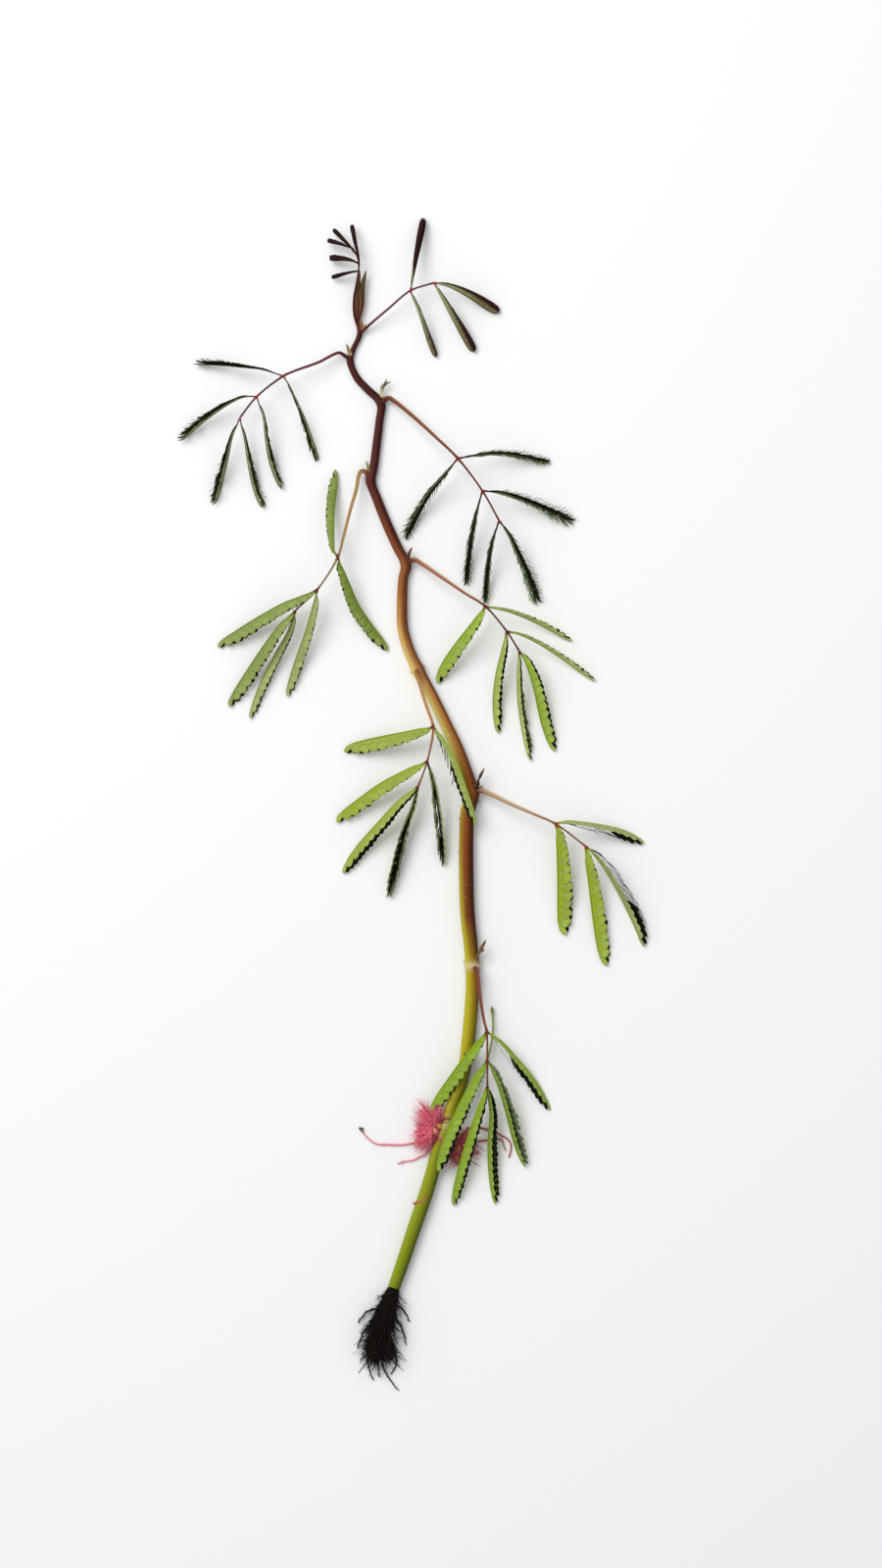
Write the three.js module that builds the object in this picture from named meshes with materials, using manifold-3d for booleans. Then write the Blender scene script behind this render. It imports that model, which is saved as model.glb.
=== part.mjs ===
// Water mimosa: one cut sprig lying on a flat surface, in millimetres, +Z up.
// The stem runs along Y with its shoot tip towards +Y. The origin is under the middle of the sprig,
// on the surface that it lies on.

import * as THREE from 'three';
import { mergeVertices } from 'three/addons/utils/BufferGeometryUtils.js';
import Module from 'manifold-3d';

const wasm = await Module();
wasm.setup();

// Driving dimensions

const GAP = 0.35; // clear space between two neighbouring pieces
const REST_HEIGHT = 0.05; // lowest point of a leaf that touches the surface
const WELD = 1e-4; // vertices closer than this are one
const SPAN_SAMPLES = 40; // samples of a curve between two of its points, to measure its length
const TRUNK_SAMPLES = 600; // points of a stem or stalk that a piece growing from it is kept clear of
const CLEAR_STEP = 0.05; // step in which the start of a piece moves off what it grows from

const STEM_SIDES = 8; // an even octagon, so that one flat side lies on the surface
const STEM_STEP = 7; // length of stem from ring to ring
const NODE_SWELL = 0.17; // how much wider the stem is at a node, as a share of its width
const NODE_REACH = 1.7; // how far along the stem a node's swelling goes

const STALK_SIDES = 5;
const STALK_STEP = 4.5;
const FORK_SWELL = 0.3; // a fork is this share wider than the stalk
const FORK_REACH = 1.1;
const STALK_TIP = 0.35; // width of the last bit of the rachis

const TOOTH_PITCH = 4.6; // length of pinna from one scallop to the next
const TOOTH_CREST = 0.72; // place of a scallop's crest between two notches
const TOOTH_DEPTH = 0.24; // how far a notch goes in, as a share of the width
const FOOT_WIDTH = 0.5; // width of the bare foot of a pinna
const WALL = 0.42; // thickness of one row of leaflets
const NOTCH_MOST = 0.86; // the valley between the two rows never starts nearer the edge

// How wide a pinna is along its length: shares of the length, and shares of the full width at them.
// A young pinna is a club that is widest near its tip, a grown one a spindle.

const PROFILE_PLACES = [0, 0.12, 0.25, 0.4, 0.55, 0.7, 0.85, 0.95, 1];
const YOUNG_PROFILE = [0.15, 0.3, 0.48, 0.66, 0.8, 0.93, 1, 0.88, 0.45];
const FULL_PROFILE = [0.15, 0.5, 0.68, 0.84, 0.95, 1, 0.93, 0.68, 0.3];

// Colours of the photograph's plant, from the dark shoot tip to the green foot

const finish = (color, roughness) => new THREE.MeshStandardMaterial({ color, roughness, metalness: 0 });

const STEM_FINISH = finish('#7a7a2c', 0.5);
const TIP_FINISH = finish('#4a3a2a', 0.55);
const STALK_FINISH = finish('#7a4a34', 0.5);
const DARK_LEAF = finish('#39421f', 0.6);
const MID_LEAF = finish('#4f7423', 0.6);
const BRIGHT_LEAF = finish('#79a632', 0.6);
const PINK_FINISH = finish('#c4506a', 0.6);
const BLACK_FINISH = finish('#2a2320', 0.8);
const BUD_FINISH = finish('#7f9a3a', 0.55);

// Stem, from the cut foot to the shoot tip: x, y, width, height of its underside above the surface, and
// true at a node, where leaves or roots come out

const STEM = [
  [-5.4, -147.9, 3.7, 0],
  [-4.5, -145.5, 3.8, 0],
  [-2.4, -139.5, 4.0, 0],
  [1.1, -129, 4.2, 0],
  [4.2, -120, 4.3, 0],
  [6.3, -113.1, 4.2, 0],
  [8.1, -106.5, 4.2, 0],
  [11.1, -98.1, 4.2, 0, true],
  [12.9, -91.5, 4.1, 0],
  [15, -85.5, 4.1, 0],
  [16.5, -79.5, 4.1, 0],
  [17.4, -72, 4.1, 0],
  [18, -66, 4.1, 0],
  [18.6, -57, 4.1, 0],
  [18.6, -49.5, 4.1, 0, true],
  [18, -42, 4.3, 0],
  [17.1, -33, 4.5, 0],
  [16.8, -24, 4.5, 0],
  [16.8, -9, 4.4, 0],
  [17.1, -3, 4.4, 0],
  [18.3, 3, 4.3, 0, true],
  [15.8, 11.8, 4.1, 0],
  [13.5, 17.8, 3.9, 0],
  [10.8, 23.7, 3.6, 0],
  [7.3, 30.9, 3.5, 0],
  [4.4, 36.4, 3.5, 0],
  [1.8, 41.1, 3.6, 0, true],
  [-1.2, 48, 3.5, 0],
  [-2.7, 54, 3.4, 0],
  [-3, 60, 3.4, 0],
  [-2.7, 69, 3.3, 0],
  [-1.8, 72.9, 3.2, 0, true],
  [-4.5, 78.6, 3.2, 0],
  [-7.5, 85.5, 3.1, 0],
  [-10.5, 93, 3.0, 0],
  [-12.6, 99, 2.9, 0, true],
  [-12, 102, 2.8, 0],
  [-11.1, 109.5, 2.7, 0],
  [-10.2, 117, 2.6, 0],
  [-9.6, 122.4, 2.5, 0, true],
  [-13.8, 127, 2.4, 0],
  [-16.8, 130.4, 2.3, 0],
  [-18.7, 135.6, 2.1, 0, true],
  [-17.8, 139, 2.0, 0.1],
  [-15.6, 144, 1.9, 0.3, true],
  [-16.7, 147.6, 1.5, 0.7],
  [-17.3, 149.7, 1.2, 1.0],
];

// Small pointed stipules and dormant side buds that grow out of the stem: route and width at the foot

const STIPULES = [
  { width: 1.0, route: [[-15.6, 144, 1.3], [-14.9, 146.4, 1.9], [-15.3, 148.4, 2.3]] },
  { width: 1.1, route: [[-18.6, 135.6, 1.1], [-19.3, 138.4, 1.7], [-20.1, 140.9, 2]] },
  { width: 1.3, route: [[-9.4, 122.6, 1.3], [-8.7, 126.6, 2], [-6.9, 130.8, 2.4]] },
  { width: 0.7, route: [[-8.9, 125.2, 1.8], [-8.6, 128, 2.4], [-8.7, 130.2, 3]] },
  { width: 1.0, route: [[-12.7, 99.5, 1.4], [-13.1, 102, 2.2], [-13.8, 104.8, 2.6]] },
  { width: 1.3, route: [[-1.6, 73, 1.7], [-0.7, 76.3, 2.6], [0.3, 78.6, 2.9]] },
  { width: 1.2, route: [[18.6, 3.2, 2.3], [20.1, 7, 3.6], [22.2, 10.8, 4]] },
  { width: 0.8, route: [[19.1, 4.4, 2.8], [19.6, 7.4, 4], [19.7, 9.6, 4.9]] },
  { width: 1.2, route: [[18.9, -49, 2.3], [20.9, -45.2, 3.8], [22.8, -41.4, 4.2]] },
];

// Thorn-like nubs on the stem: root and tip of each

const NUB_WIDTH = 0.9;
const NUBS = [
  [[1.4, 39.6, 1.7], [-0.4, 40, 2]],
  [[2.8, 40.9, 1.7], [4.4, 42.2, 2.1]],
  [[18.6, -49.2, 2], [15.7, -48.2, 2.4]],
  [[18.6, -49.4, 2], [21.5, -48.4, 1.6]],
  [[18.8, 1.2, 2], [20.9, 0.4, 1.8]],
  [[16.4, -4.4, 2], [14.2, -4.6, 2.3]],
  [[16.6, -14.6, 2], [14.1, -14.8, 2.1]],
  [[20.4, 4.6, 2.6], [22, 5.5, 3]],
  [[3.6, -121.8, 2], [0.7, -122, 2]],
  [[10.5, -97.6, 2], [9.3, -95, 3.6]],
];

// Leaves. A stalk goes from the stem's axis over its forks to the end of the rachis. A pinna goes from
// its fork to its tip. Its width is the one seen from above. Roll turns the scalloped edge round the
// pinna: 0 to the left of the way it grows, 90 up, 180 to the right. Open is half the angle between
// its two rows of leaflets.

const LEAVES = [
  {
    name: 'leaf_2',
    leaf: DARK_LEAF,
    profile: YOUNG_PROFILE,
    width: 1.1,
    base: [[-15.6, 144, 1.2], [-12.8, 146.9, 2.2], [-6.8, 151.1, 4.4]],
    forks: [[-0.3, 156.3, 5.8], [6.9, 158.7, 6]],
    pinnae: {
      a: {
        fork: 0, width: 2.1, roll: 50, open: 18,
        route: [[0.3, 160.5, 6], [1.4, 167.4, 4.6], [3.6, 179.2, 0.9]],
      },
      b: {
        fork: 0, width: 1.8, roll: 50, open: 18,
        route: [[2.6, 149.9, 5], [5.5, 142, 2.8], [7.6, 136.6, 0.9]],
      },
      c: {
        fork: 1, width: 2.7, roll: 40, open: 18,
        route: [[10.2, 153.4, 5.4], [15.2, 145.4, 3.2], [19.4, 138.2, 0.9]],
      },
      d: {
        fork: 1, width: 3, roll: 40, open: 18,
        route: [[11.8, 157.9, 6], [17.5, 155.7, 4.6], [22.6, 153, 2.6], [26.9, 150.4, 0.9]],
      },
    },
  },
  {
    name: 'leaf_3',
    leaf: DARK_LEAF,
    profile: YOUNG_PROFILE,
    width: 1.2,
    base: [
      [-18.6, 135.6, 1.1], [-20.7, 137.1, 1.9], [-22.2, 137.7, 2.6], [-28.4, 134.6, 4.4], [-35.9, 131.7, 6],
    ],
    forks: [[-39, 130.2, 6.6], [-47.1, 123.9, 6.8], [-52.2, 117.6, 6.4]],
    pinnae: {
      a: {
        fork: 0, width: 1.9, roll: 125, open: 22,
        route: [[-45, 132.2, 6.6], [-51, 133.3, 5.2], [-58.5, 134.5, 2.9], [-66.4, 134.9, 0.9]],
      },
      b: {
        fork: 0, width: 1.9, roll: 125, open: 22,
        route: [[-36, 124.5, 6], [-33, 117, 4.2], [-30.9, 110.4, 2.2], [-28.8, 104.4, 0.9]],
      },
      c: {
        fork: 1, width: 2.4, roll: 125, open: 22,
        route: [
          [-50.4, 124.1, 7], [-54.9, 122.6, 6.2], [-61.5, 119.2, 4.2], [-66.6, 115.7, 2.4],
          [-71.5, 111.3, 0.9],
        ],
      },
      d: {
        fork: 1, width: 2.1, roll: 50, open: 22,
        route: [[-45.1, 118.5, 6.2], [-44.1, 112.4, 5], [-42.6, 104.8, 2.9], [-39.5, 96.4, 0.9]],
      },
      e: {
        fork: 2, width: 2.7, roll: 125, open: 24,
        route: [[-54.6, 112.5, 6.4], [-57, 105, 4.2], [-59.4, 97.5, 2.2], [-61.2, 91.5, 0.9]],
      },
      f: {
        fork: 2, width: 2.4, roll: 50, open: 24,
        route: [[-50.8, 111.8, 5.2], [-49, 103.3, 3.2], [-47.1, 95.8, 1.6], [-45, 90.5, 0.9]],
      },
    },
  },
  {
    name: 'leaf_4',
    leaf: DARK_LEAF,
    profile: YOUNG_PROFILE,
    width: 1.3,
    base: [
      [-9.6, 122.4, 1.3], [-6.9, 123.9, 2.3], [-5.5, 123.1, 3], [-0.3, 118.2, 4.6], [7.2, 111, 6.8],
    ],
    forks: [[14.1, 105, 8.2], [21.6, 95.1, 8.2], [26.7, 86.1, 7.6]],
    pinnae: {
      a: {
        fork: 0, width: 2.3, roll: 90, open: 30,
        route: [
          [19.5, 106.1, 7.9], [25.5, 107.1, 6.2], [30, 107.1, 4.6], [36, 106.2, 2.6], [42.8, 104.8, 0.9],
        ],
      },
      b: {
        fork: 0, width: 2.6, roll: 65, open: 26,
        route: [[10.4, 99.9, 7.2], [5.8, 94, 5], [1.9, 87.1, 2.7], [-1.5, 80.4, 0.9]],
      },
      c: {
        fork: 1, width: 3.5, roll: 110, open: 32,
        route: [[27, 94.9, 8.2], [32.9, 93.6, 6.6], [38.9, 91.6, 4.4], [45, 89.1, 2.5], [50.3, 86.3, 0.9]],
      },
      d: {
        fork: 1, width: 2.8, roll: 90, open: 32,
        route: [[20, 89.4, 7.4], [18.5, 82.5, 5], [17.5, 75, 2.6], [16.6, 66.6, 0.9]],
      },
      e: {
        fork: 2, width: 2.5, roll: 90, open: 34,
        route: [[24.5, 79.5, 6.4], [23.3, 72, 3.9], [22.8, 66, 2], [22.5, 60.9, 0.9]],
      },
      f: {
        fork: 2, width: 3.6, roll: 70, open: 34,
        route: [[29.7, 82.4, 7.4], [33.4, 75.8, 5], [37, 68.4, 2.7], [39.4, 60.9, 0.9]],
      },
    },
  },
  {
    name: 'leaf_5',
    leaf: MID_LEAF,
    profile: FULL_PROFILE,
    width: 1.2,
    base: [
      [-12.6, 99, 1.4], [-14.1, 101.4, 2.2], [-15.4, 101.5, 2.8], [-16.2, 99.7, 3.3],
      [-16.7, 96.5, 4], [-18.5, 89.9, 5.4], [-20.6, 81.5, 7],
    ],
    forks: [[-22.4, 75, 7.8], [-28.6, 65.2, 7.8], [-35.2, 58.9, 7.2]],
    pinnae: {
      a: {
        fork: 0, width: 2.8, roll: 0, open: 13,
        route: [
          [-23.6, 76.8, 7.8], [-24.1, 79.8, 7.4], [-24.4, 84, 6.2], [-24.5, 90, 4], [-23.9, 96, 2.2],
          [-23.2, 102, 0.9],
        ],
      },
      b: {
        fork: 0, width: 2.9, roll: 180, open: 13,
        route: [[-21.3, 71.2, 7.4], [-19.5, 66, 5.8], [-17.2, 60, 3.8], [-13.1, 53.7, 2], [-7.4, 46.9, 0.9]],
      },
      c: {
        fork: 1, width: 3.1, roll: 0, open: 13,
        route: [[-32.8, 62.6, 8.4], [-38.6, 60, 7], [-46.2, 55.6, 4.2], [-53.8, 51, 2], [-59.2, 48.1, 0.9]],
      },
      d: {
        fork: 1, width: 2.3, roll: 0, open: 13,
        route: [[-29.6, 59.4, 7], [-31.8, 51.1, 4.6], [-34.4, 43.6, 2.4], [-38, 32.8, 0.9]],
      },
      e: {
        fork: 2, width: 3.1, roll: 0, open: 13,
        route: [[-39.4, 54, 7.6], [-44.5, 46.8, 5], [-49.1, 39.7, 2.7], [-55.8, 29.8, 0.9]],
      },
      f: {
        fork: 2, width: 2.1, roll: 30, open: 16,
        route: [[-37, 52.7, 5.4], [-40.6, 45.9, 3.2], [-45.3, 36.4, 1.6], [-49.4, 26, 0.9]],
      },
    },
  },
  {
    name: 'leaf_6',
    leaf: MID_LEAF,
    profile: FULL_PROFILE,
    width: 1.3,
    base: [
      [-1.8, 72.9, 1.7], [-0.2, 74.2, 2.4], [1.2, 74.4, 3], [3.2, 73.2, 3.8], [8.9, 68.3, 5.6],
      [16.4, 64, 7.2],
    ],
    forks: [[22.5, 60, 8], [29, 52.4, 8], [32.8, 46.5, 7.4]],
    pinnae: {
      a: {
        fork: 0, width: 1.5, roll: 90, open: 18,
        route: [[28.4, 59.1, 7.6], [34.4, 57.3, 5.6], [41.8, 54, 2.9], [49, 49.8, 1.2]],
      },
      b: {
        fork: 0, width: 3.1, roll: 0, open: 13,
        route: [[18.9, 54.2, 7.2], [14.4, 47.8, 5], [10.4, 41.7, 2.6], [7.9, 36.9, 0.9]],
      },
      c: {
        fork: 1, width: 1.4, roll: 90, open: 16,
        route: [[32.9, 51.7, 7.8], [38.8, 49.2, 6], [46.3, 44.7, 3.4], [52.3, 40.4, 1.8], [56.2, 37.5, 1.2]],
      },
      d: {
        fork: 1, width: 2.4, roll: 50, open: 18,
        route: [[28.1, 46.5, 7], [26.7, 39, 4.6], [26.1, 31.5, 2.4], [26.5, 21.6, 0.9]],
      },
      e: {
        fork: 2, width: 2.2, roll: 60, open: 16,
        route: [[32.9, 39, 5.8], [33.4, 31.5, 3.6], [34.6, 24, 1.9], [36.5, 13.2, 0.9]],
      },
      f: {
        fork: 2, width: 3.1, roll: 20, open: 14,
        route: [[35.9, 42, 7], [38.7, 34.5, 4.8], [41, 25.5, 2.4], [43.8, 16.2, 0.9]],
      },
    },
  },
  {
    name: 'leaf_7',
    leaf: BRIGHT_LEAF,
    profile: FULL_PROFILE,
    width: 1.2,
    base: [[1.8, 41.1, 1.8], [1.7, 39.8, 4.1], [3.1, 34.5, 5.2], [5, 28.5, 6.4]],
    forks: [[6.6, 23.4, 7], [4.8, 12.9, 7], [2.1, 5.4, 6.5]],
    pinnae: {
      a: {
        fork: 0, width: 3.8, roll: 0, open: 12,
        route: [[0, 21.1, 6.6], [-7.5, 19.1, 4.2], [-14.5, 17.5, 2.2], [-20.5, 16.2, 0.9]],
      },
      b: {
        fork: 0, width: 2.3, roll: 190, open: 16,
        route: [[9.2, 19.8, 7.2], [12.7, 12.6, 6.9], [15.6, 4.5, 6.7], [17.7, -1.5, 6.3], [19.3, -6.6, 5.8]],
      },
      c: {
        fork: 1, width: 3.4, roll: 0, open: 12,
        route: [[-1.4, 9.4, 7.2], [-9, 4.8, 4.6], [-15.8, -0.3, 2.4], [-23, -5.4, 0.9]],
      },
      d: {
        fork: 1, width: 2.4, roll: 90, open: 24,
        route: [[6.5, 7.4, 6.6], [8, -1.5, 4.4], [9, -10.5, 2.4], [9.9, -19.2, 0.9]],
      },
      e: {
        fork: 2, width: 3.4, roll: 30, open: 15,
        route: [[-3.6, 0, 7.2], [-9.5, -7.1, 4.8], [-15.4, -14, 2.2], [-20.8, -21.3, 0.9]],
      },
      f: {
        fork: 2, width: 2.6, roll: 90, open: 24,
        route: [[0.4, -1.5, 4.6], [-2.3, -9, 3.2], [-4.7, -17.9, 1.9], [-7.3, -29, 0.9]],
      },
    },
  },
  {
    name: 'leaf_8',
    leaf: BRIGHT_LEAF,
    profile: FULL_PROFILE,
    width: 1.5,
    base: [[18.3, 3, 2.1], [21, 4, 3.2], [24, 3, 4.2], [29.9, 0.1, 5.6], [37.4, -3.2, 7]],
    forks: [[43.8, -6.1, 7.6], [53, -12.9, 7.2]],
    pinnae: {
      a: {
        fork: 0, width: 2.6, roll: 150, open: 18,
        route: [
          [46.8, -5.7, 7.8], [51, -6.3, 6.9], [56.9, -7.4, 4.9], [64.4, -9.3, 2.5], [71.1, -12.3, 0.9],
        ],
      },
      b: {
        fork: 0, width: 4.4, roll: 0, open: 11,
        route: [[44.9, -9.6, 7.2], [46.1, -18, 4.9], [46.7, -25.5, 2.9], [46.8, -33, 1.5], [46.7, -40, 0.9]],
      },
      c: {
        fork: 1, width: 3.8, roll: 0, open: 11,
        route: [
          [53.4, -15.6, 6.9], [55.3, -24, 4.6], [56.9, -33, 2.4], [58.3, -42, 1.2], [59.5, -49.4, 0.9],
        ],
      },
      d: {
        fork: 1, width: 3.1, roll: 50, open: 22,
        route: [
          [57.8, -17.2, 6.8], [62.6, -23.8, 4.8], [66.9, -31.4, 2.6], [70.2, -39, 1.2], [71.3, -43.6, 0.9],
        ],
      },
    },
  },
  {
    name: 'leaf_9',
    leaf: BRIGHT_LEAF,
    profile: FULL_PROFILE,
    width: 1.2,
    base: [[18.6, -49.5, 2.1], [19.9, -51.2, 5.1], [20.9, -58.5, 6.1], [22.1, -66, 6.9]],
    forks: [[22.9, -69.3, 7.2], [23.1, -78, 7.4], [23.1, -85.8, 7]],
    pinnae: {
      a: {
        fork: 0, width: 3.4, roll: 0, open: 12,
        route: [[19.9, -73.7, 7], [15.9, -79.6, 6.2], [11.3, -86.6, 4.6], [6.2, -93.8, 3.4]],
      },
      b: {
        fork: 0, width: 2.4, roll: 150, open: 18,
        route: [[27, -72.7, 6.8], [31.5, -78.1, 4.8], [36.9, -85.2, 2.4], [42.2, -93.9, 0.9]],
      },
      c: {
        fork: 1, width: 3.6, roll: 0, open: 12,
        route: [[19.3, -84.8, 7.2], [14.8, -94.5, 6.8], [11.2, -103.5, 6.2], [8.4, -111.9, 5.4]],
      },
      d: {
        fork: 1, width: 3.2, roll: 90, open: 26,
        route: [[26.8, -84.6, 7], [29.8, -93, 5.4], [32.3, -102, 3.6], [35, -111, 1.2]],
      },
      e: {
        fork: 2, width: 3, roll: 20, open: 14,
        route: [[20.9, -93, 7.2], [17.9, -103.5, 5.6], [15.5, -112.5, 3.9], [12.9, -123, 0.9]],
      },
      f: {
        fork: 2, width: 2.9, roll: 40, open: 18,
        route: [[24.8, -94.5, 4.9], [24.6, -103.5, 3.6], [25, -112.5, 2.2], [25.9, -122.4, 0.9]],
      },
    },
  },
];

// Shoot tip: the closed sheath and the young leaf

const TIP_BUD = {
  route: [[-17.2, 151.2, 1.8], [-16.5, 153.6, 2], [-15.6, 156.6, 2.1], [-15.2, 159.4, 2.2]],
  widths: [1.2, 2.2, 3, 1.2],
  spikes: [
    [[-15.3, 158.4, 2.2], [-14.7, 160.4, 2.3], [-14.4, 162.4, 2.1]],
    [[-15.1, 157.8, 2.4], [-14, 160.6, 3], [-13.2, 162.9, 3.1]],
  ],
};

const YOUNG_LEAF = {
  stalk: [
    [-17.9, 151.3, 3.6], [-17.9, 154.5, 4.1], [-16.6, 159, 4.6], [-15.6, 162, 4.8],
    [-15.9, 165, 4.9], [-16.8, 167.4, 5], [-18, 169.5, 5],
  ],
  stalkWidth: 1.1,
  clubWidth: 1.5,
  clubs: [
    { swell: 1, route: [[-16, 165.4, 4.9], [-17, 170.4, 4.6], [-18.3, 177, 2.6]] },
    { swell: 1, route: [[-17, 167.8, 5], [-20.4, 171.6, 4.9], [-24, 175.5, 3.2]] },
    { swell: 1, route: [[-18, 169.4, 5], [-21.6, 170.7, 4.7], [-25.8, 172.2, 2.4]] },
    { swell: 1.35, route: [[-16.1, 164.7, 4.9], [-20.4, 166.2, 4.4], [-25.2, 166.8, 2]] },
    { swell: 1, route: [[-15.7, 162.4, 4.8], [-20, 161.8, 3.8], [-24.6, 160.8, 1.6]] },
  ],
};

// Thin stalk of a flower bud, from the tenth node along the surface to its knob

const BUD_STALK = {
  route: [
    [14.6, -96, 2], [17.6, -91, 2.2], [20.6, -84.5, 2], [23.7, -76.5, 1.6], [24.9, -69, 1.2],
    [24.6, -62.1, 1.2],
  ],
  width: 1,
  knob: [[24.8, -66.4, 1.1], [24.7, -64, 1.3], [24.5, -61.4, 1.2]],
  knobWidth: 1.8,
};

// Pink roots at the tenth node: a tuft on each side of the stem, and long curling roots

const PINK_ROOT_WIDTH = 0.75;
const PINK_LEFT = {
  heart: [5.9, -99.4, 2],
  half: [1.9, 4.2, 1.9],
  tips: [
    [4.4, -88.8, 0.8], [2.6, -90.4, 1.8], [1.6, -92.4, 3], [0.2, -93.6, 0.8], [0.4, -96.2, 3.6],
    [-0.6, -98.4, 1], [0.2, -100.4, 2.8], [1.3, -102.2, 4.2], [2.4, -104.4, 1], [3.8, -107, 2.4],
    [4.6, -96, 5], [3.4, -99.6, 5.2],
  ],
  roots: [
    [
      [5, -102, 1.4], [2, -103.4, 0.9], [-2, -104.3, 0.5], [-7, -104.4, 0.5], [-12, -103.6, 0.5],
      [-15.4, -99.8, 0.6],
    ],
    [[5.6, -101.6, 1.8], [5, -106.2, 0.9], [1.4, -108.7, 0.5], [-4.3, -110.1, 0.5]],
  ],
};
const PINK_RIGHT = {
  heart: [14.2, -105.6, 1.7],
  half: [1.9, 5, 1.6],
  tips: [
    [16.6, -98.4, 1.2], [18.2, -100.4, 2.4], [18.4, -103, 0.9], [19, -105.4, 2], [18.2, -108.2, 1],
    [17.4, -110.6, 2.2], [16.2, -112.8, 0.9], [14.2, -113.8, 1.3], [12, -115.6, 0.8], [16.4, -103.4, 3.6],
  ],
  roots: [
    [
      [14.8, -101.6, 1.6], [18, -99.2, 1.1], [22, -99.4, 0.6], [26.4, -101, 0.5], [29.4, -102.7, 0.5],
      [30.5, -105.4, 0.5], [29.7, -108.3, 0.5],
    ],
    [[15.2, -104, 1.4], [19.4, -103.4, 0.9], [23.4, -103, 0.5], [27.4, -102.9, 0.5], [28.8, -106, 0.5]],
  ],
};

// Black roots at the cut foot: a dense tangle and the strands that leave it

const BLACK_HEART = {
  route: [[-5.9, -148.6, 1.6], [-7, -152.4, 2.9], [-8.6, -158, 3.7], [-9.6, -163.6, 3], [-9.3, -168.4, 1]],
  widths: [3, 5.8, 7.4, 6, 2],
  flattened: 0.62,
};
const BLACK_ROOT_WIDTH = 1.1;
const BLACK_ROOTS = [
  [[-8.6, -163, 1.6], [-9, -171, 0.9], [-7.5, -174.9, 0.6], [-5.4, -177.9, 0.5], [-3.9, -179.4, 0.5]],
  [[-7.2, -162, 1.5], [-4.8, -168.6, 0.8], [-4.8, -171.9, 0.5], [-6.3, -174.6, 0.5]],
  [[-10.4, -161, 1.6], [-13, -167, 0.8], [-13.2, -172.4, 0.5], [-11.6, -176.4, 0.5]],
  [[-10.4, -157, 2], [-14.6, -161.4, 0.9], [-16.6, -166.6, 0.5]],
  [[-9.6, -154, 2.2], [-13.6, -155.4, 1], [-16.4, -158.8, 0.5]],
  [[-6.4, -156, 2.2], [-3.2, -160, 1], [-1.6, -165.6, 0.5]],
  [[-5.8, -152.6, 2], [-2.8, -154.6, 0.9], [-0.6, -158.4, 0.5]],
  [[-9.4, -163, 2.4], [-10.6, -169.4, 1.6], [-9.8, -175.4, 0.6]],
];

// Geometry helpers

const UP = new THREE.Vector3(0, 0, 1);
const toVector = (point) => new THREE.Vector3(point[0], point[1], point[2]);
const smooth = (from, to, value) => THREE.MathUtils.smoothstep(value, from, to);
const bump = (distance, reach) => Math.exp(-((distance / reach) ** 2));

function smoothCurve(points) {
  const curve = new THREE.CatmullRomCurve3(points.map(toVector), false, 'centripetal');
  curve.arcLengthDivisions = (points.length - 1) * SPAN_SAMPLES;
  return curve;
}

// How far along a smooth curve each of its points lies.
function pointDistances(curve) {
  const lengths = curve.getLengths();
  return curve.points.map((point, index) => lengths[index * SPAN_SAMPLES]);
}

// Value at a distance, between the values that are given at some distances.
function between(distances, values, distance) {
  const after = distances.findIndex((limit) => limit >= distance);
  const next = after === -1 ? distances.length - 1 : Math.max(1, after);
  const share = (distance - distances[next - 1]) / (distances[next] - distances[next - 1]);
  return THREE.MathUtils.lerp(values[next - 1], values[next], THREE.MathUtils.clamp(share, 0, 1));
}

// Point of a curve at a distance along it, with the way it goes, the level way to its left and the
// way that is up from it.
function stationAt(curve, distance, length) {
  const share = THREE.MathUtils.clamp(distance / length, 0, 1);
  const centre = curve.getPointAt(share);
  const along = curve.getTangentAt(share).normalize();
  const left = new THREE.Vector3().crossVectors(UP, along);
  if (left.length() < 0.05) {
    left.set(1, 0, 0);
  }
  left.normalize();
  const up = new THREE.Vector3().crossVectors(along, left).normalize();
  return { centre, along, left, up, share };
}

// Distance along a curve from which its points keep a reach away from a trunk's curve.
function clearStart(curve, length, trunk, reach) {
  const axis = trunk.getSpacedPoints(TRUNK_SAMPLES);
  for (let distance = 0; distance < length; distance += CLEAR_STEP) {
    const point = curve.getPointAt(distance / length);
    if (axis.every((spot) => spot.distanceTo(point) > reach)) {
      return distance;
    }
  }
  return 0;
}

// A closed body through rings that all have the same number of corners, each ring's corners going
// anticlockwise when seen against the way that the body grows.
function loft(rings) {
  const corners = rings[0].length;
  const positions = rings.flat().flatMap((corner) => [corner.x, corner.y, corner.z]);
  const faces = [];
  for (let ring = 0; ring + 1 < rings.length; ring += 1) {
    for (let side = 0; side < corners; side += 1) {
      const here = ring * corners + side;
      const next = ring * corners + ((side + 1) % corners);
      faces.push(here, next, next + corners);
      faces.push(here, next + corners, here + corners);
    }
  }
  const last = (rings.length - 1) * corners;
  for (let side = 1; side + 1 < corners; side += 1) {
    faces.push(0, side + 1, side);
    faces.push(last, last + side, last + side + 1);
  }
  const geometry = new THREE.BufferGeometry();
  geometry.setAttribute('position', new THREE.Float32BufferAttribute(positions, 3));
  geometry.setIndex(faces);
  return geometry;
}

// One ring of a round stem or root, with a flat side underneath.
function roundRing(station, radius, sides) {
  const ring = [];
  for (let side = 0; side < sides; side += 1) {
    const angle = (2 * Math.PI * (side + 0.5)) / sides - Math.PI / 2;
    const corner = station.centre.clone();
    corner.addScaledVector(station.left, radius * Math.cos(angle));
    corner.addScaledVector(station.up, radius * Math.sin(angle));
    ring.push(corner);
  }
  return ring;
}

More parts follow.
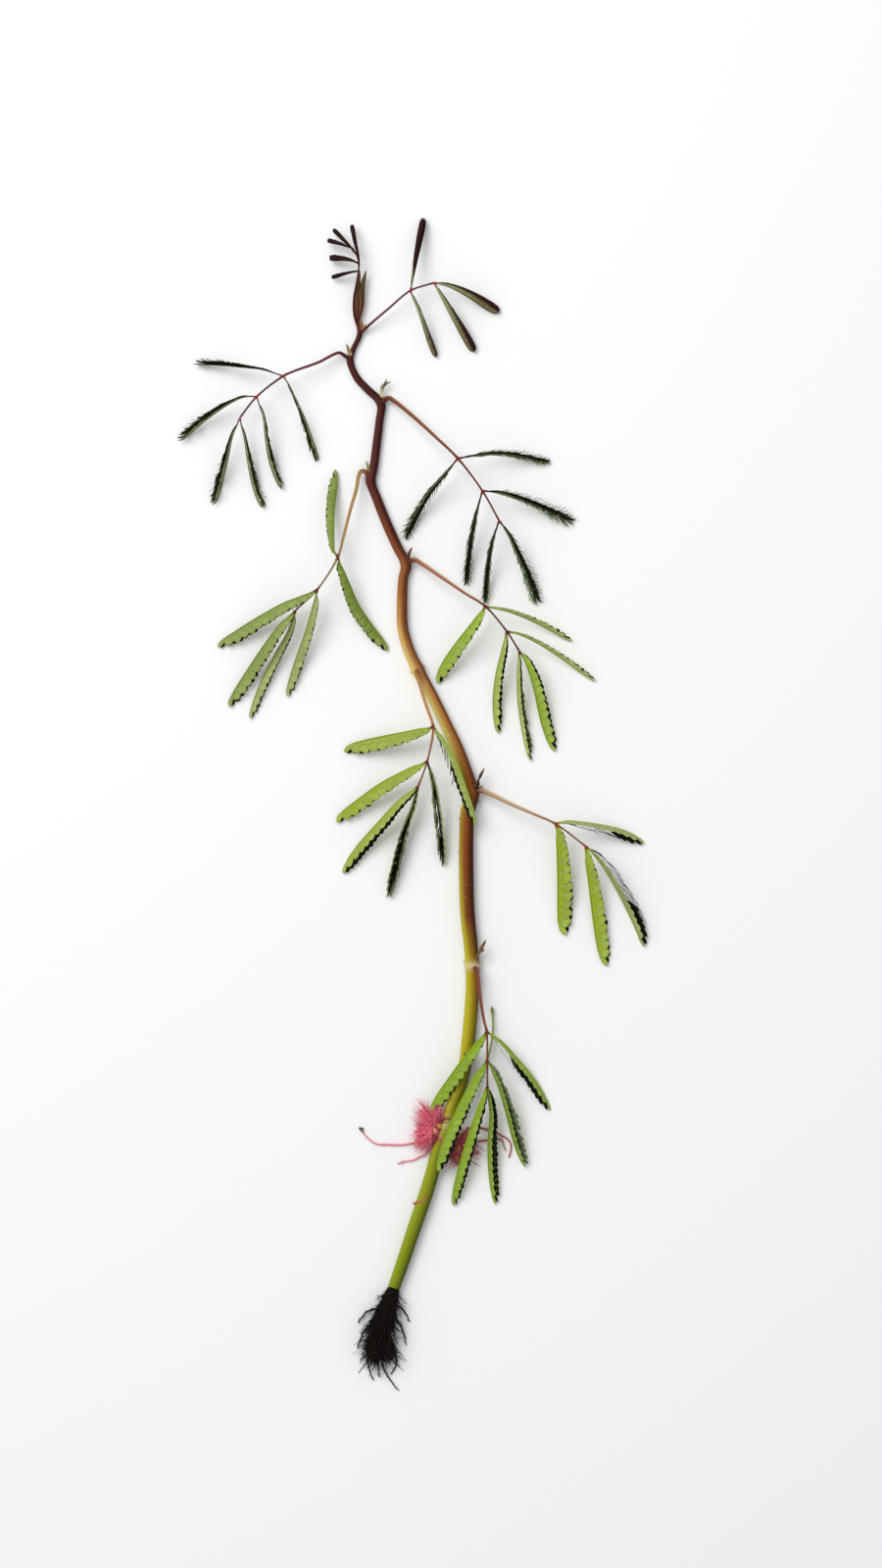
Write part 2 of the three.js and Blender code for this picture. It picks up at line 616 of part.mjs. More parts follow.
// A tapering round body along points, from a width at its foot to a width at its tip, that never
// sinks into the surface.
function taper(points, footWidth, tipWidth, sides, step) {
  const curve = smoothCurve(points);
  const length = curve.getLength();
  const count = Math.max(2, Math.round(length / step));
  const rings = [];
  for (let index = 0; index <= count; index += 1) {
    const station = stationAt(curve, (length * index) / count, length);
    const radius = THREE.MathUtils.lerp(footWidth, tipWidth, station.share) / 2;
    station.centre.z = Math.max(station.centre.z, radius + REST_HEIGHT);
    rings.push(roundRing(station, radius, sides));
  }
  return loft(rings);
}

// A round body along points with a width given at each of them.
function swollen(points, widths, sides, perSpan) {
  const curve = smoothCurve(points);
  const distances = pointDistances(curve);
  const length = curve.getLength();
  const count = (points.length - 1) * perSpan;
  const rings = [];
  for (let index = 0; index <= count; index += 1) {
    const distance = (length * index) / count;
    const radius = between(distances, widths, distance) / 2;
    rings.push(roundRing(stationAt(curve, distance, length), radius, sides));
  }
  return loft(rings);
}

function toSolid(geometry) {
  const bare = geometry.clone();
  bare.deleteAttribute('normal');
  bare.deleteAttribute('uv');
  const welded = mergeVertices(bare, WELD);
  return new wasm.Manifold(
    new wasm.Mesh({
      numProp: 3,
      vertProperties: new Float32Array(welded.attributes.position.array),
      triVerts: new Uint32Array(welded.index.array),
    }),
  );
}

function toGeometry(solid) {
  const mesh = solid.getMesh();
  const geometry = new THREE.BufferGeometry();
  geometry.setAttribute('position', new THREE.Float32BufferAttribute(mesh.vertProperties, 3));
  geometry.setIndex(Array.from(mesh.triVerts));
  return geometry;
}

// Bodies that grow out of each other, joined to one.
function grownTogether(geometries) {
  return toGeometry(geometries.map(toSolid).reduce((whole, part) => whole.add(part)));
}

// Stem with its stipules, side buds and nubs

const STEM_FLAT = Math.cos(Math.PI / STEM_SIDES); // axis to a flat side, as a share of the radius
const STEM_CURVE = smoothCurve(STEM.map(([x, y, width, lift]) => [x, y, lift + (width / 2) * STEM_FLAT]));

function stemBody() {
  const length = STEM_CURVE.getLength();
  const distances = pointDistances(STEM_CURVE);
  const widths = STEM.map(([, , width]) => width);
  const lifts = STEM.map(([, , , lift]) => lift);
  const nodes = distances.filter((distance, row) => STEM[row][4]);
  const count = Math.round(length / STEM_STEP);
  const plain = Array.from({ length: count + 1 }, (unused, index) => (length * index) / count);
  const isClear = (distance) => nodes.every((node) => Math.abs(node - distance) > 1.5 * NODE_REACH);
  const atNodes = nodes.flatMap((node) => [node - NODE_REACH, node, node + NODE_REACH]);
  const stations = [...plain.filter(isClear), ...atNodes].sort((one, two) => one - two);
  const rings = stations.map((distance) => {
    const station = stationAt(STEM_CURVE, distance, length);
    const near = Math.min(...nodes.map((node) => Math.abs(node - distance)));
    const radius = (between(distances, widths, distance) / 2) * (1 + NODE_SWELL * bump(near, NODE_REACH));
    station.centre.z = between(distances, lifts, distance) + radius * STEM_FLAT;
    station.up.copy(UP);
    return roundRing(station, radius, STEM_SIDES);
  });
  return loft(rings);
}

function stem() {
  const stipules = STIPULES.map(({ route, width }) => taper(route, width, 0.2, 4, 3));
  const nubs = NUBS.map((route) => taper(route, NUB_WIDTH, 0.25, 4, 3));
  return grownTogether([stemBody(), ...stipules, ...nubs]);
}

// Stalk of a leaf: petiole and rachis, thicker where a pair of pinnae leaves it

function stalk({ base, forks, width }) {
  const curve = smoothCurve([...base, ...forks]);
  const length = curve.getLength();
  const reach = stemRadiusAt(base[0]) * (1 + NODE_SWELL) + width / 2 + GAP;
  const start = clearStart(curve, length, STEM_CURVE, reach);
  const joints = forks.map(toVector);
  const count = Math.round((length - start) / STALK_STEP);
  const rings = [];
  for (let index = 0; index <= count; index += 1) {
    const station = stationAt(curve, THREE.MathUtils.lerp(start, length, index / count), length);
    const near = Math.min(...joints.map((joint) => joint.distanceTo(station.centre)));
    const plain = THREE.MathUtils.lerp(width, STALK_TIP * 2, station.share);
    rings.push(roundRing(station, (plain / 2) * (1 + FORK_SWELL * bump(near, FORK_REACH)), STALK_SIDES));
  }
  return loft(rings);
}

function stemRadiusAt([x, y]) {
  const near = STEM.reduce((one, two) => (
    Math.hypot(one[0] - x, one[1] - y) < Math.hypot(two[0] - x, two[1] - y) ? one : two));
  return near[2] / 2;
}

// Four corners of a pinna: its rib, the edges of its two rows of leaflets and the valley between them.
// They are set so that the pinna is as wide as stated from above, with its middle over the route.
function pinnaRing(station, across, tooth, roll, open) {
  const angle = THREE.MathUtils.degToRad(roll);
  const ratio = 2 * Math.tan(THREE.MathUtils.degToRad(open));
  const [level, upright] = [Math.abs(Math.cos(angle)), Math.abs(Math.sin(angle))];
  const full = across / Math.max(level + 0.5 * ratio * upright, ratio * upright);
  const depth = Math.max(full, FOOT_WIDTH);
  const spread = Math.max(0.5 * ratio * full, FOOT_WIDTH / 2);
  const middle = (lean, over) => (lean + over + Math.min(0, lean - over)) / 2;
  const rib = station.centre.clone();
  rib.addScaledVector(station.left, -Math.sign(Math.cos(angle)) * middle(level * depth, upright * spread));
  rib.addScaledVector(station.up, -Math.sign(Math.sin(angle)) * middle(upright * depth, level * spread));
  const outward = station.left.clone().multiplyScalar(Math.cos(angle));
  outward.addScaledVector(station.up, Math.sin(angle));
  const side = new THREE.Vector3().crossVectors(station.along, outward);
  const [edge, half] = [depth * tooth, spread * tooth];
  const valley = Math.min(NOTCH_MOST * edge, (WALL * Math.hypot(half, edge)) / half);
  const corner = (out, over) => rib.clone().addScaledVector(outward, out).addScaledVector(side, over);
  const ring = [rib, corner(edge, -half), corner(valley, 0), corner(edge, half)];
  const lowest = Math.min(...ring.map((point) => point.z));
  const rise = Math.max(0, REST_HEIGHT - lowest);
  ring.forEach((point) => point.addScaledVector(UP, rise));
  return ring;
}

// A pinna: its two rows of folded leaflets as one body whose edges are scalloped.
function pinna(leaf, { fork, width, roll, open, route }) {
  const curve = smoothCurve([leaf.forks[fork], ...route]);
  const length = curve.getLength();
  const reach = (leaf.width / 2) * (1 + FORK_SWELL) + FOOT_WIDTH / 2 + GAP;
  const start = clearStart(curve, length, smoothCurve([...leaf.base, ...leaf.forks]), reach);
  const teeth = Math.max(5, Math.round((length - start) / TOOTH_PITCH));
  const rings = [];
  const addRing = (share, tooth) => {
    const station = stationAt(curve, THREE.MathUtils.lerp(start, length, share), length);
    const across = width * between(PROFILE_PLACES, leaf.profile, share);
    rings.push(pinnaRing(station, across, tooth, roll, open));
  };
  addRing(0, 1);
  for (let index = 0; index < teeth; index += 1) {
    addRing((index + 0.12) / teeth, 1 - TOOTH_DEPTH);
    addRing((index + TOOTH_CREST) / teeth, 1);
  }
  addRing(1, 1);
  return loft(rings);
}

function tipBud() {
  const body = swollen(TIP_BUD.route, TIP_BUD.widths, 6, 2);
  const spikes = TIP_BUD.spikes.map((route) => taper(route, 0.9, 0.2, 4, 2));
  return grownTogether([body, ...spikes]);
}

function youngLeaf() {
  const { stalk: route, stalkWidth, clubWidth, clubs } = YOUNG_LEAF;
  const bodies = clubs.map(({ swell, route: points }) => (
    swollen(points, [0.6, clubWidth * 0.85 * swell, clubWidth * swell], 4, 2)));
  return grownTogether([taper(route, stalkWidth, 0.8, 5, 2.5), ...bodies]);
}

function budStalk() {
  const { route, width, knob, knobWidth } = BUD_STALK;
  const thread = taper(route, width, width * 0.8, 5, 5);
  const head = swollen(knob, [width * 0.7, knobWidth, width * 0.7], 6, 2);
  return grownTogether([thread, head]);
}

// A tuft of roots: a flattened heart, short pointed roots that leave it and long curling ones.
function rootTuft({ heart, half, tips, roots }) {
  const body = new THREE.IcosahedronGeometry(1, 1);
  body.scale(half[0], half[1], half[2]);
  body.translate(heart[0], heart[1], heart[2]);
  const middle = toVector(heart);
  const spines = tips.map((tip) => {
    const foot = middle.clone();
    foot.y += (tip[1] - heart[1]) * 0.35;
    return taper([foot.toArray(), tip], PINK_ROOT_WIDTH, 0.25, 3, 20);
  });
  const long = roots.map((route) => taper(route, PINK_ROOT_WIDTH, 0.35, 4, 3));
  return grownTogether([body, ...spines, ...long]);
}

function blackRoots() {
  const heart = swollen(BLACK_HEART.route, BLACK_HEART.widths, 8, 2);
  heart.scale(1, 1, BLACK_HEART.flattened);
  const strands = BLACK_ROOTS.map((route) => taper(route, BLACK_ROOT_WIDTH, 0.35, 4, 3));
  return grownTogether([heart, ...strands]);
}

// The sprig

const sprig = new THREE.Group();

function place(name, geometry, material) {
  const mesh = new THREE.Mesh(geometry, material);
  mesh.name = name;
  sprig.add(mesh);
}

place('stem', stem(), STEM_FINISH);
place('tip_bud', tipBud(), TIP_FINISH);
place('young_leaf', youngLeaf(), DARK_LEAF);
LEAVES.forEach((leaf) => {
  place(`${leaf.name}_stalk`, stalk(leaf), STALK_FINISH);
  Object.entries(leaf.pinnae).forEach(([letter, spec]) => {
    place(`${leaf.name}_pinna_${letter}`, pinna(leaf, spec), leaf.leaf);
  });
});
place('bud_stalk', budStalk(), BUD_FINISH);
place('pink_roots_left', rootTuft(PINK_LEFT), PINK_FINISH);
place('pink_roots_right', rootTuft(PINK_RIGHT), PINK_FINISH);
place('black_roots', blackRoots(), BLACK_FINISH);

export default sprig;
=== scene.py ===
import bpy
import numpy as np
from types import SimpleNamespace
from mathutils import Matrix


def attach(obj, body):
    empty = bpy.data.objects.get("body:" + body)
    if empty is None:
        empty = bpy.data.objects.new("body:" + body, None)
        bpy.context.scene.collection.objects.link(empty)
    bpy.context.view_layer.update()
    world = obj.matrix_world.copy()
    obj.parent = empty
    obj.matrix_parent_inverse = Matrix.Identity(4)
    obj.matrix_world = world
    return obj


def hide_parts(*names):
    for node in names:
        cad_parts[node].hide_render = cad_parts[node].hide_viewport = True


# Water mimosa: one cut sprig as picked, lying on a pale surface and seen from straight above.
# Lengths are in millimetres until a mesh is made. +Y is towards the shoot tip, +Z is up.

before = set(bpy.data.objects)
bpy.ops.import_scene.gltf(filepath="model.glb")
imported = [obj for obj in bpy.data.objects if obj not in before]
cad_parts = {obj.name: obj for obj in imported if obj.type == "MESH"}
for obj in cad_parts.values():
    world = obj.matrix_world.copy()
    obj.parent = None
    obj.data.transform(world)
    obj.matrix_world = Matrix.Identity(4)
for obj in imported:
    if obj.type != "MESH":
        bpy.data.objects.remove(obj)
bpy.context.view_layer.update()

MM = 0.001
UP = np.array([0.0, 0.0, 1.0])
RESTING = 0.04  # lowest height of a leaflet that lies on the surface
LEAST_HEIGHT = 0.05  # lowest height of a pinna's section
HIGHEST = 8.95  # nothing of the sprig stands higher
LOWEST_ROOT = -179.4  # Y of the lowest root's end
BLUNT, ROUNDING = 0.82, 0.18  # share of a blade from which its outline rounds off, and the rest of it
CROWDING = 1.08  # over 1, leaflets stand a little closer at the foot of a pinna than at its tip
LEAD = 0.03  # share of a pinna from the start of a row to the tip of its first leaflet
EDGE_ON = 40  # degrees of twist from which a leaflet counts as turned edge-on
chance = np.random.default_rng(20)

# The sprig's given points

# stem: x, y, width, height of its underside, true at a node
STEM = [
    [-5.4, -147.9, 3.7, 0], [-4.5, -145.5, 3.8, 0], [-2.4, -139.5, 4.0, 0], [1.1, -129, 4.2, 0],
    [4.2, -120, 4.3, 0], [6.3, -113.1, 4.2, 0], [8.1, -106.5, 4.2, 0], [11.1, -98.1, 4.2, 0, True],
    [12.9, -91.5, 4.1, 0], [15, -85.5, 4.1, 0], [16.5, -79.5, 4.1, 0], [17.4, -72, 4.1, 0],
    [18, -66, 4.1, 0], [18.6, -57, 4.1, 0], [18.6, -49.5, 4.1, 0, True], [18, -42, 4.3, 0],
    [17.1, -33, 4.5, 0], [16.8, -24, 4.5, 0], [16.8, -9, 4.4, 0], [17.1, -3, 4.4, 0],
    [18.3, 3, 4.3, 0, True], [15.8, 11.8, 4.1, 0], [13.5, 17.8, 3.9, 0], [10.8, 23.7, 3.6, 0],
    [7.3, 30.9, 3.5, 0], [4.4, 36.4, 3.5, 0], [1.8, 41.1, 3.6, 0, True], [-1.2, 48, 3.5, 0],
    [-2.7, 54, 3.3, 0], [-2.9, 60, 3.2, 0], [-2.5, 69, 3, 0], [-1.7, 72.9, 2.9, 0, True],
    [-4.4, 78.6, 3, 0], [-7.5, 85.5, 3, 0], [-10.5, 93, 2.9, 0], [-12.5, 99, 2.8, 0, True],
    [-11.7, 102, 2.7, 0], [-10.7, 109.5, 2.6, 0], [-9.8, 117, 2.5, 0], [-9.4, 122.4, 2.4, 0, True],
    [-13.8, 127, 2.3, 0], [-16.8, 130.4, 2.2, 0], [-18.8, 135.6, 1.9, 0, True], [-17.8, 139, 1.6, 0.2],
    [-15.8, 144, 1.5, 0.4, True], [-16.8, 147.6, 1.2, 0.8], [-17.3, 149.7, 1, 1.0],
]

# stipules: width at the foot, route, colour at the foot, colour at the tip
STIPULES = [
    (0.9, [[-15.6, 144, 1.3], [-15.3, 146.2, 1.9], [-15.4, 148.3, 2.3]], "#80472c", "#7c5a34"),
    (0.8, [[-15.4, 143.8, 1.4], [-14.6, 145.4, 1.9], [-14.2, 146.6, 2.3]], "#7a4224", "#a0814c"),
    (0.9, [[-18.6, 135.6, 1.1], [-19.1, 138, 1.7], [-19.9, 140.6, 2]], "#a8946a", "#6c6438"),
    (0.7, [[-18.6, 136, 1.2], [-18.5, 137.4, 1.8], [-19, 138.8, 2.2]], "#a8956a", "#8a7a4a"),
    (0.95, [[-9.4, 122.6, 1.3], [-9, 126.2, 2], [-7.5, 129.8, 2.4]], "#cfc09a", "#4a3c24"),
    (0.4, [[-9.1, 125, 1.8], [-9.3, 127, 2.2], [-8.9, 128.4, 2.4]], "#b9a674", "#5a4a2a"),
    (0.5, [[-8.3, 127.6, 2.1], [-7.3, 128.5, 2.6], [-6.3, 128.8, 2.8]], "#6c5c38", "#3c2c1c"),
    (1.0, [[-12.7, 99.5, 1.4], [-13.1, 102, 2.2], [-13.8, 104.8, 2.6]], "#7a5a35", "#7f8a4c"),
    (1.1, [[-1.6, 73, 1.7], [-0.9, 76, 2.6], [0.2, 78.4, 2.9]], "#4a2a1c", "#5c3a28"),
]
# dried stubs of side shoots at the eighth and ninth node, and the cream swelling that the left tuft
# of roots grows from at the tenth: width, route, colours
STUBS = [
    (0.8, [[18.6, 2.4, 2.1], [19.6, 5.2, 3.3], [20.9, 8.2, 3.9], [22.3, 11, 4.1]], "#24100c", "#a88a78"),
    (0.7, [[18.9, 3.6, 2.6], [20.4, 5.6, 3.9], [20.3, 7.2, 4.4]], "#2c140e", "#4a2c20"),
    (0.95, [[18.9, -49.4, 2.2], [20, -46.6, 3.2], [21.3, -44.2, 3.9], [22.7, -41.6, 4.3]], "#7a5a34",
     "#4c463a"),
    (0.6, [[20.6, -45.4, 3.4], [21.6, -45, 3.8], [22.2, -44.4, 4]], "#6a5438", "#8a7a64"),
    (1.9, [[11.6, -99.8, 2.4], [10, -98.7, 2.8], [8.8, -98.4, 2.9], [7.4, -98.6, 2.8]], "#c2b23c",
     "#d0a884"),
]
# thorn-like nubs on the stem
NUBS = [
    [[1.4, 39.6, 1.7], [-0.4, 40, 2]], [[2.8, 40.9, 1.7], [4.4, 42.2, 2.1]],
    [[18.6, -49.2, 2], [15.7, -48.2, 2.4]], [[18.6, -49.4, 2], [21.5, -48.4, 1.6]],
    [[18.8, 1.2, 2], [20.9, 0.4, 1.8]], [[16.4, -4.4, 2], [14.2, -4.6, 2.3]],
    [[16.6, -14.6, 2], [14.1, -14.8, 2.1]], [[20.4, 4.6, 2.6], [22, 5.5, 3]],
    [[3.6, -121.8, 2], [0.7, -122, 2]], [[10.5, -97.6, 2], [9.3, -95, 3.6]],
]

# scales of the tip bud: width at the foot, route
TIP_SCALES = [
    (1.7, [[-16.8, 147.4, 1.6], [-17, 150, 2.3], [-16.8, 153.2, 2.9], [-16.4, 157.6, 3.1],
           [-15.7, 162.4, 2.6]]),
    (1.9, [[-16.7, 147.4, 1.4], [-16, 150.4, 1.9], [-15.5, 153.4, 2.2], [-15.1, 157.6, 2.6],
           [-13.9, 162.7, 3.1]]),
    (1.0, [[-16.9, 148.2, 1.3], [-17.2, 151.4, 1.6], [-17, 153.4, 1.8], [-16.7, 156.8, 2],
           [-16.2, 160.2, 2.4]]),
    (0.7, [[-15.9, 149, 1.8], [-15.5, 152, 2.7], [-15.5, 155.6, 3.2], [-14.9, 160.4, 3.2]]),
]
# stalk of the young leaf, and its clubs: width, fork, route
YOUNG_STALK = [[-16.9, 147.2, 1.8], [-17.6, 150.6, 3], [-17.5, 154.5, 3.9], [-16.8, 158.4, 4.4],
               [-16.2, 162, 4.7], [-16.1, 165, 4.8], [-16.8, 167.4, 5], [-18, 169.5, 5]]
YOUNG_CLUBS = [
    (1.5, [-15.9, 164, 4.9], [[-16.2, 167, 4.9], [-17, 170.4, 4.6], [-18.3, 177, 2.6]]),
    (1.5, [-17, 167.6, 5], [[-18.6, 169.7, 5], [-20.4, 171.6, 4.9], [-24, 175.5, 3.2]]),
    (1.5, [-17.9, 169.3, 5], [[-19.6, 169.9, 4.9], [-21.6, 170.7, 4.7], [-25.8, 172.2, 2.4]]),
    (2.0, [-16, 164.6, 4.9], [[-18, 165.6, 4.7], [-20.4, 166.2, 4.4], [-25.2, 166.8, 2]]),
    (1.4, [-15.7, 162.4, 4.8], [[-17.8, 162.2, 4.4], [-20, 161.8, 3.8], [-24.6, 160.8, 1.6]]),
]
# where the dark of each of the second leaf's clubs begins on one side, where all is dark, and the side
DARK_SIDES = {"a": (0, 0.5, -1), "b": (-0.6, 3.2, 1), "c": (-0.37, 1.7, 1), "d": (-1.6, 2.9, 1)}
# thin stalk with a knob, beneath the ninth leaf
BUD_ROUTE = [[14.6, -96, 2], [17.6, -91, 2.2], [20.6, -84.5, 2], [23.7, -76.5, 1.6], [24.9, -69, 1.2],
             [24.6, -62.1, 1.2]]

# long roots of the left and the right tuft
LEFT_ROOTS = [
    [[5, -102, 1.4], [2, -103.4, 0.9], [-2, -104.3, 0.5], [-7, -104.4, 0.5], [-12, -103.6, 0.5],
     [-15.4, -99.8, 0.6]],
    [[5.6, -101.6, 1.8], [5, -106.2, 0.9], [1.4, -108.7, 0.5], [-4.3, -110.1, 0.5]],
]
RIGHT_ROOTS = [
    [[14.8, -101.6, 1.6], [18, -99.2, 1.1], [22, -99.4, 0.6], [26.4, -101, 0.5], [29.4, -102.7, 0.5],
     [30.5, -105.4, 0.5], [29.7, -108.3, 0.5]],
    [[15.2, -104, 1.4], [19.4, -103.4, 0.9], [23.4, -103, 0.5], [27.4, -102.9, 0.5], [28.8, -106, 0.5]],
]
# a budding root low on the stem: three blunt lobes
BUDDING = [(0.9, [[4.6, -120.9, 3.7], [2.9, -121.4, 3.6], [1.4, -121.7, 2.9]]),
           (0.8, [[2.6, -121.6, 3.4], [1.2, -122, 2.6], [0.5, -122.4, 2]]),
           (0.7, [[4.4, -120.7, 3.9], [4, -120, 3.9], [3.8, -119.6, 3.7]])]
# dark cap at the end of the longest root: width, route
ROOT_CAP = [(0.75, [[-15, -100.3, 0.6], [-15.5, -99.7, 0.7], [-16, -99, 0.6]]),
            (0.55, [[-15.4, -99.7, 0.7], [-14.7, -99.2, 0.6]])]
# core and strands of the dark tangle
BLACK_HEART = [[-5.6, -148.3, 2], [-7, -152.4, 2.9], [-8.6, -158, 3.7], [-9.6, -163.6, 3],
               [-9.3, -168.4, 1]]
BLACK_STRANDS = [
    [[-8.6, -163, 1.6], [-9, -171, 0.9], [-7.5, -174.9, 0.6], [-5.4, -177.9, 0.5], [-3.9, -179.4, 0.5]],
    [[-7.2, -162, 1.5], [-4.8, -168.6, 0.8], [-4.8, -171.9, 0.5], [-6.3, -174.6, 0.5]],
    [[-10.4, -161, 1.6], [-13, -167, 0.8], [-13.2, -172.4, 0.5], [-11.6, -176.4, 0.5]],
    [[-10.4, -157, 2], [-14.6, -161.4, 0.9], [-16.6, -166.6, 0.5]],
    [[-9.6, -154, 2.2], [-13.6, -155.4, 1], [-16.4, -158.8, 0.5]],
    [[-6.4, -156, 2.2], [-3.2, -160, 1], [-1.6, -165.6, 0.5]],
    [[-5.8, -152.6, 2], [-2.8, -154.6, 0.9], [-0.6, -158.4, 0.5]],
    [[-9.4, -163, 2.4], [-10.6, -169.4, 1.6], [-9.8, -175.4, 0.6]],
]

# how wide a pinna is along its length: a young one is a club, a grown one a spindle
PLACES = [0, 0.12, 0.25, 0.4, 0.55, 0.7, 0.85, 0.95, 1]
CLUB = [0.15, 0.3, 0.48, 0.66, 0.8, 0.93, 1, 0.88, 0.45]
THIN_CLUB = [0.12, 0.18, 0.34, 0.58, 0.8, 0.95, 1, 0.9, 0.5]
SPINDLE = [0.15, 0.5, 0.68, 0.84, 0.95, 1, 0.93, 0.68, 0.3]


def row(side, **own):
    """How one row of leaflets sits. side is 1 for the row whose backs are seen from above and -1 for the
    row behind it. reach is how far its tips come, as a share of the pinna's depth, turn the twist in
    degrees, pale how pale its backs and inner margins are, each at the foot and at the tip; that
    paleness is partly the paler underside and partly painted light on rows seen aslant. tilt turns the
    whole row, start and end bound it along the pinna, and a bow over 1 leans a blade forward. A dark
    row is coloured all over like the inner faces: painted shade on hind leaflets, on young leaves also
    their own dark. Up to the share smooth of its depth the blades lie so close that no gap shows
    between them."""
    habit = dict(side=side, reach=(1, 1), turn=(2, 6), pale=(0, 0), tilt=0, start=0, end=1, first=0.07,
                 pitch=2.35, blade=2.9, longest=5.1, thick=0.1, bow=1.15, uneven=0.04, dark=False,
                 smooth=0.0)
    return SimpleNamespace(**{**habit, **own})


def folded(edge=(0.04, 0.1), pale=(0.1, 0.1), ragged=5, **own):
    """A shut pinna: round-ended backs like tiles, and behind them closer-set leaflets whose dark inner
    faces, deepened with painted shade, show along the edge."""
    hind = {**own, "blade": own.get("blade", 2.9) * 0.72, "pitch": own.get("pitch", 2.35) * 0.72}
    return [row(1, reach=(1 - edge[0], 1 - edge[1]), pale=pale, smooth=0.62, **own),
            row(-1, turn=(4, ragged), **hind)]


def fringed(edge=(0.5, 0.5), pale=(0.5, 0.5), lines=(0.08, 0.6), far=(1.3, 1.2), pitch=1.9, shut=0.5,
            bow=1.05, size=10.5, grey=0.1, **own):
    """A shut pinna some of whose hind leaflets have turned edge-on, so that they show as thin dark
    lines with gaps, and whose other hind leaflets show as a dark band of painted shade towards the tip."""
    return [row(1, reach=(1 - edge[0], 1 - edge[1]), pale=pale, smooth=0.5, **{"blade": 2.3, **own}),
            hair_row(-1, pale=(grey, grey / 2), start=lines[0], end=lines[1], reach=far, pitch=pitch,
                     longest=size, blade=0.5, bow=bow, thick=0.13, first=0.06, uneven=0.08),
            row(-1, start=shut, turn=(14, 10), blade=1.8, pitch=1.9, longest=6.4, dark=True)]


def parted(whole, until, pale=(0.9, 0.8), shut=0.8, **own):
    """An open pinna with one whole row, while the other has turned edge-on from one place onwards and
    is shut towards the tip, where it is dark with painted shade."""
    habit = {**dict(pitch=2.1, blade=1.9, longest=4.8, pale=pale, turn=(5, 10), uneven=0.06), **own}
    return [row(whole, **habit), row(-whole, end=until, **habit),
            hair_row(-whole, start=until - 0.06, reach=(1.12, 1.1), pitch=1.6, longest=6.8, blade=0.7,
                     bow=1.6, thick=0.16, first=0.1),
            row(-whole, start=shut, blade=1.7, pitch=1.9, longest=4.8, turn=(12, 16), dark=True)]


def hair_row(side, **own):
    """Hair-like leaflets that curve outward and are seen edge-on."""
    return row(side, **{**dict(pitch=1.1, blade=0.4, longest=5.0, thick=0.12, turn=(78, 70), bow=0.55,
                               pale=(0.4, 0.4), dark=True, uneven=0.11, first=0.2), **own})


def feathery(hairs=(-1,), fuzz=0.6, core=0.42, **own):
    """A young pinna with a dense dark middle, fine curved hair-like leaflets on one side or both, and
    short pale fuzz on the other side."""
    habit = {**dict(pitch=0.85, blade=0.8, longest=3.4, thick=0.12, uneven=0.1, first=0.12), **own}
    rows = [row(1, **{**habit, "reach": (core, core + 0.05), "pale": (fuzz, fuzz / 3), "turn": (6, 14)}),
            row(-1, **{**habit, "reach": (core, core + 0.08), "turn": (14, 24)})]
    if len(hairs) == 1:
        rows.append(row(1, **{**habit, "reach": (core, 0.72), "pale": (0.9, 0.6), "turn": (24, 30),
                              "tilt": 38, "blade": 0.5, "pitch": 0.55, "bow": 0.8, "uneven": 0.22}))
    return rows + [hair_row(side) for side in hairs]


def bristling(pale=(0.5, 0.4), **own):
    """A young pinna on a bare foot: a soft pale side of thin leaflets that lie along it, and a dark side
    whose leaflets end in small teeth."""
    habit = {**dict(pitch=0.8, blade=0.85, longest=5.2, thick=0.12, uneven=0.12, first=0.2), **own}
    return [row(1, **{**habit, "pale": pale, "turn": (6, 20), "reach": (0.75, 0.95), "uneven": 0.2}),
            row(-1, **{**habit, "turn": (12, 26), "reach": (0.7, 0.8), "pale": (pale[0] / 3, pale[1])}),
            row(-1, **{**habit, "pitch": 1.5, "blade": 0.6, "turn": (50, 60), "reach": (0.95, 1.05),
                       "longest": 5.6, "bow": 0.9, "dark": True})]


def clubbed(pale=(0.6, 0.3), **own):
    """A youngest pinna: narrow leaflets pressed together, their tips close along the edge."""
    habit = {**dict(pitch=0.62, blade=0.75, longest=4.4, thick=0.1, uneven=0.05, first=0.1), **own}
    return [row(1, **{**habit, "pale": pale, "turn": (2, 3)}),
            row(-1, **{**habit, "pale": (pale[0] / 2, pale[1] / 2), "turn": (2, 5)})]


def pinna(fork, width, roll, spread, rows, *route):
    """What is known of one pinna: its fork, width, roll and opening in degrees, rows and route."""
    return SimpleNamespace(fork=fork, width=width, roll=roll, spread=spread, rows=rows, route=route)


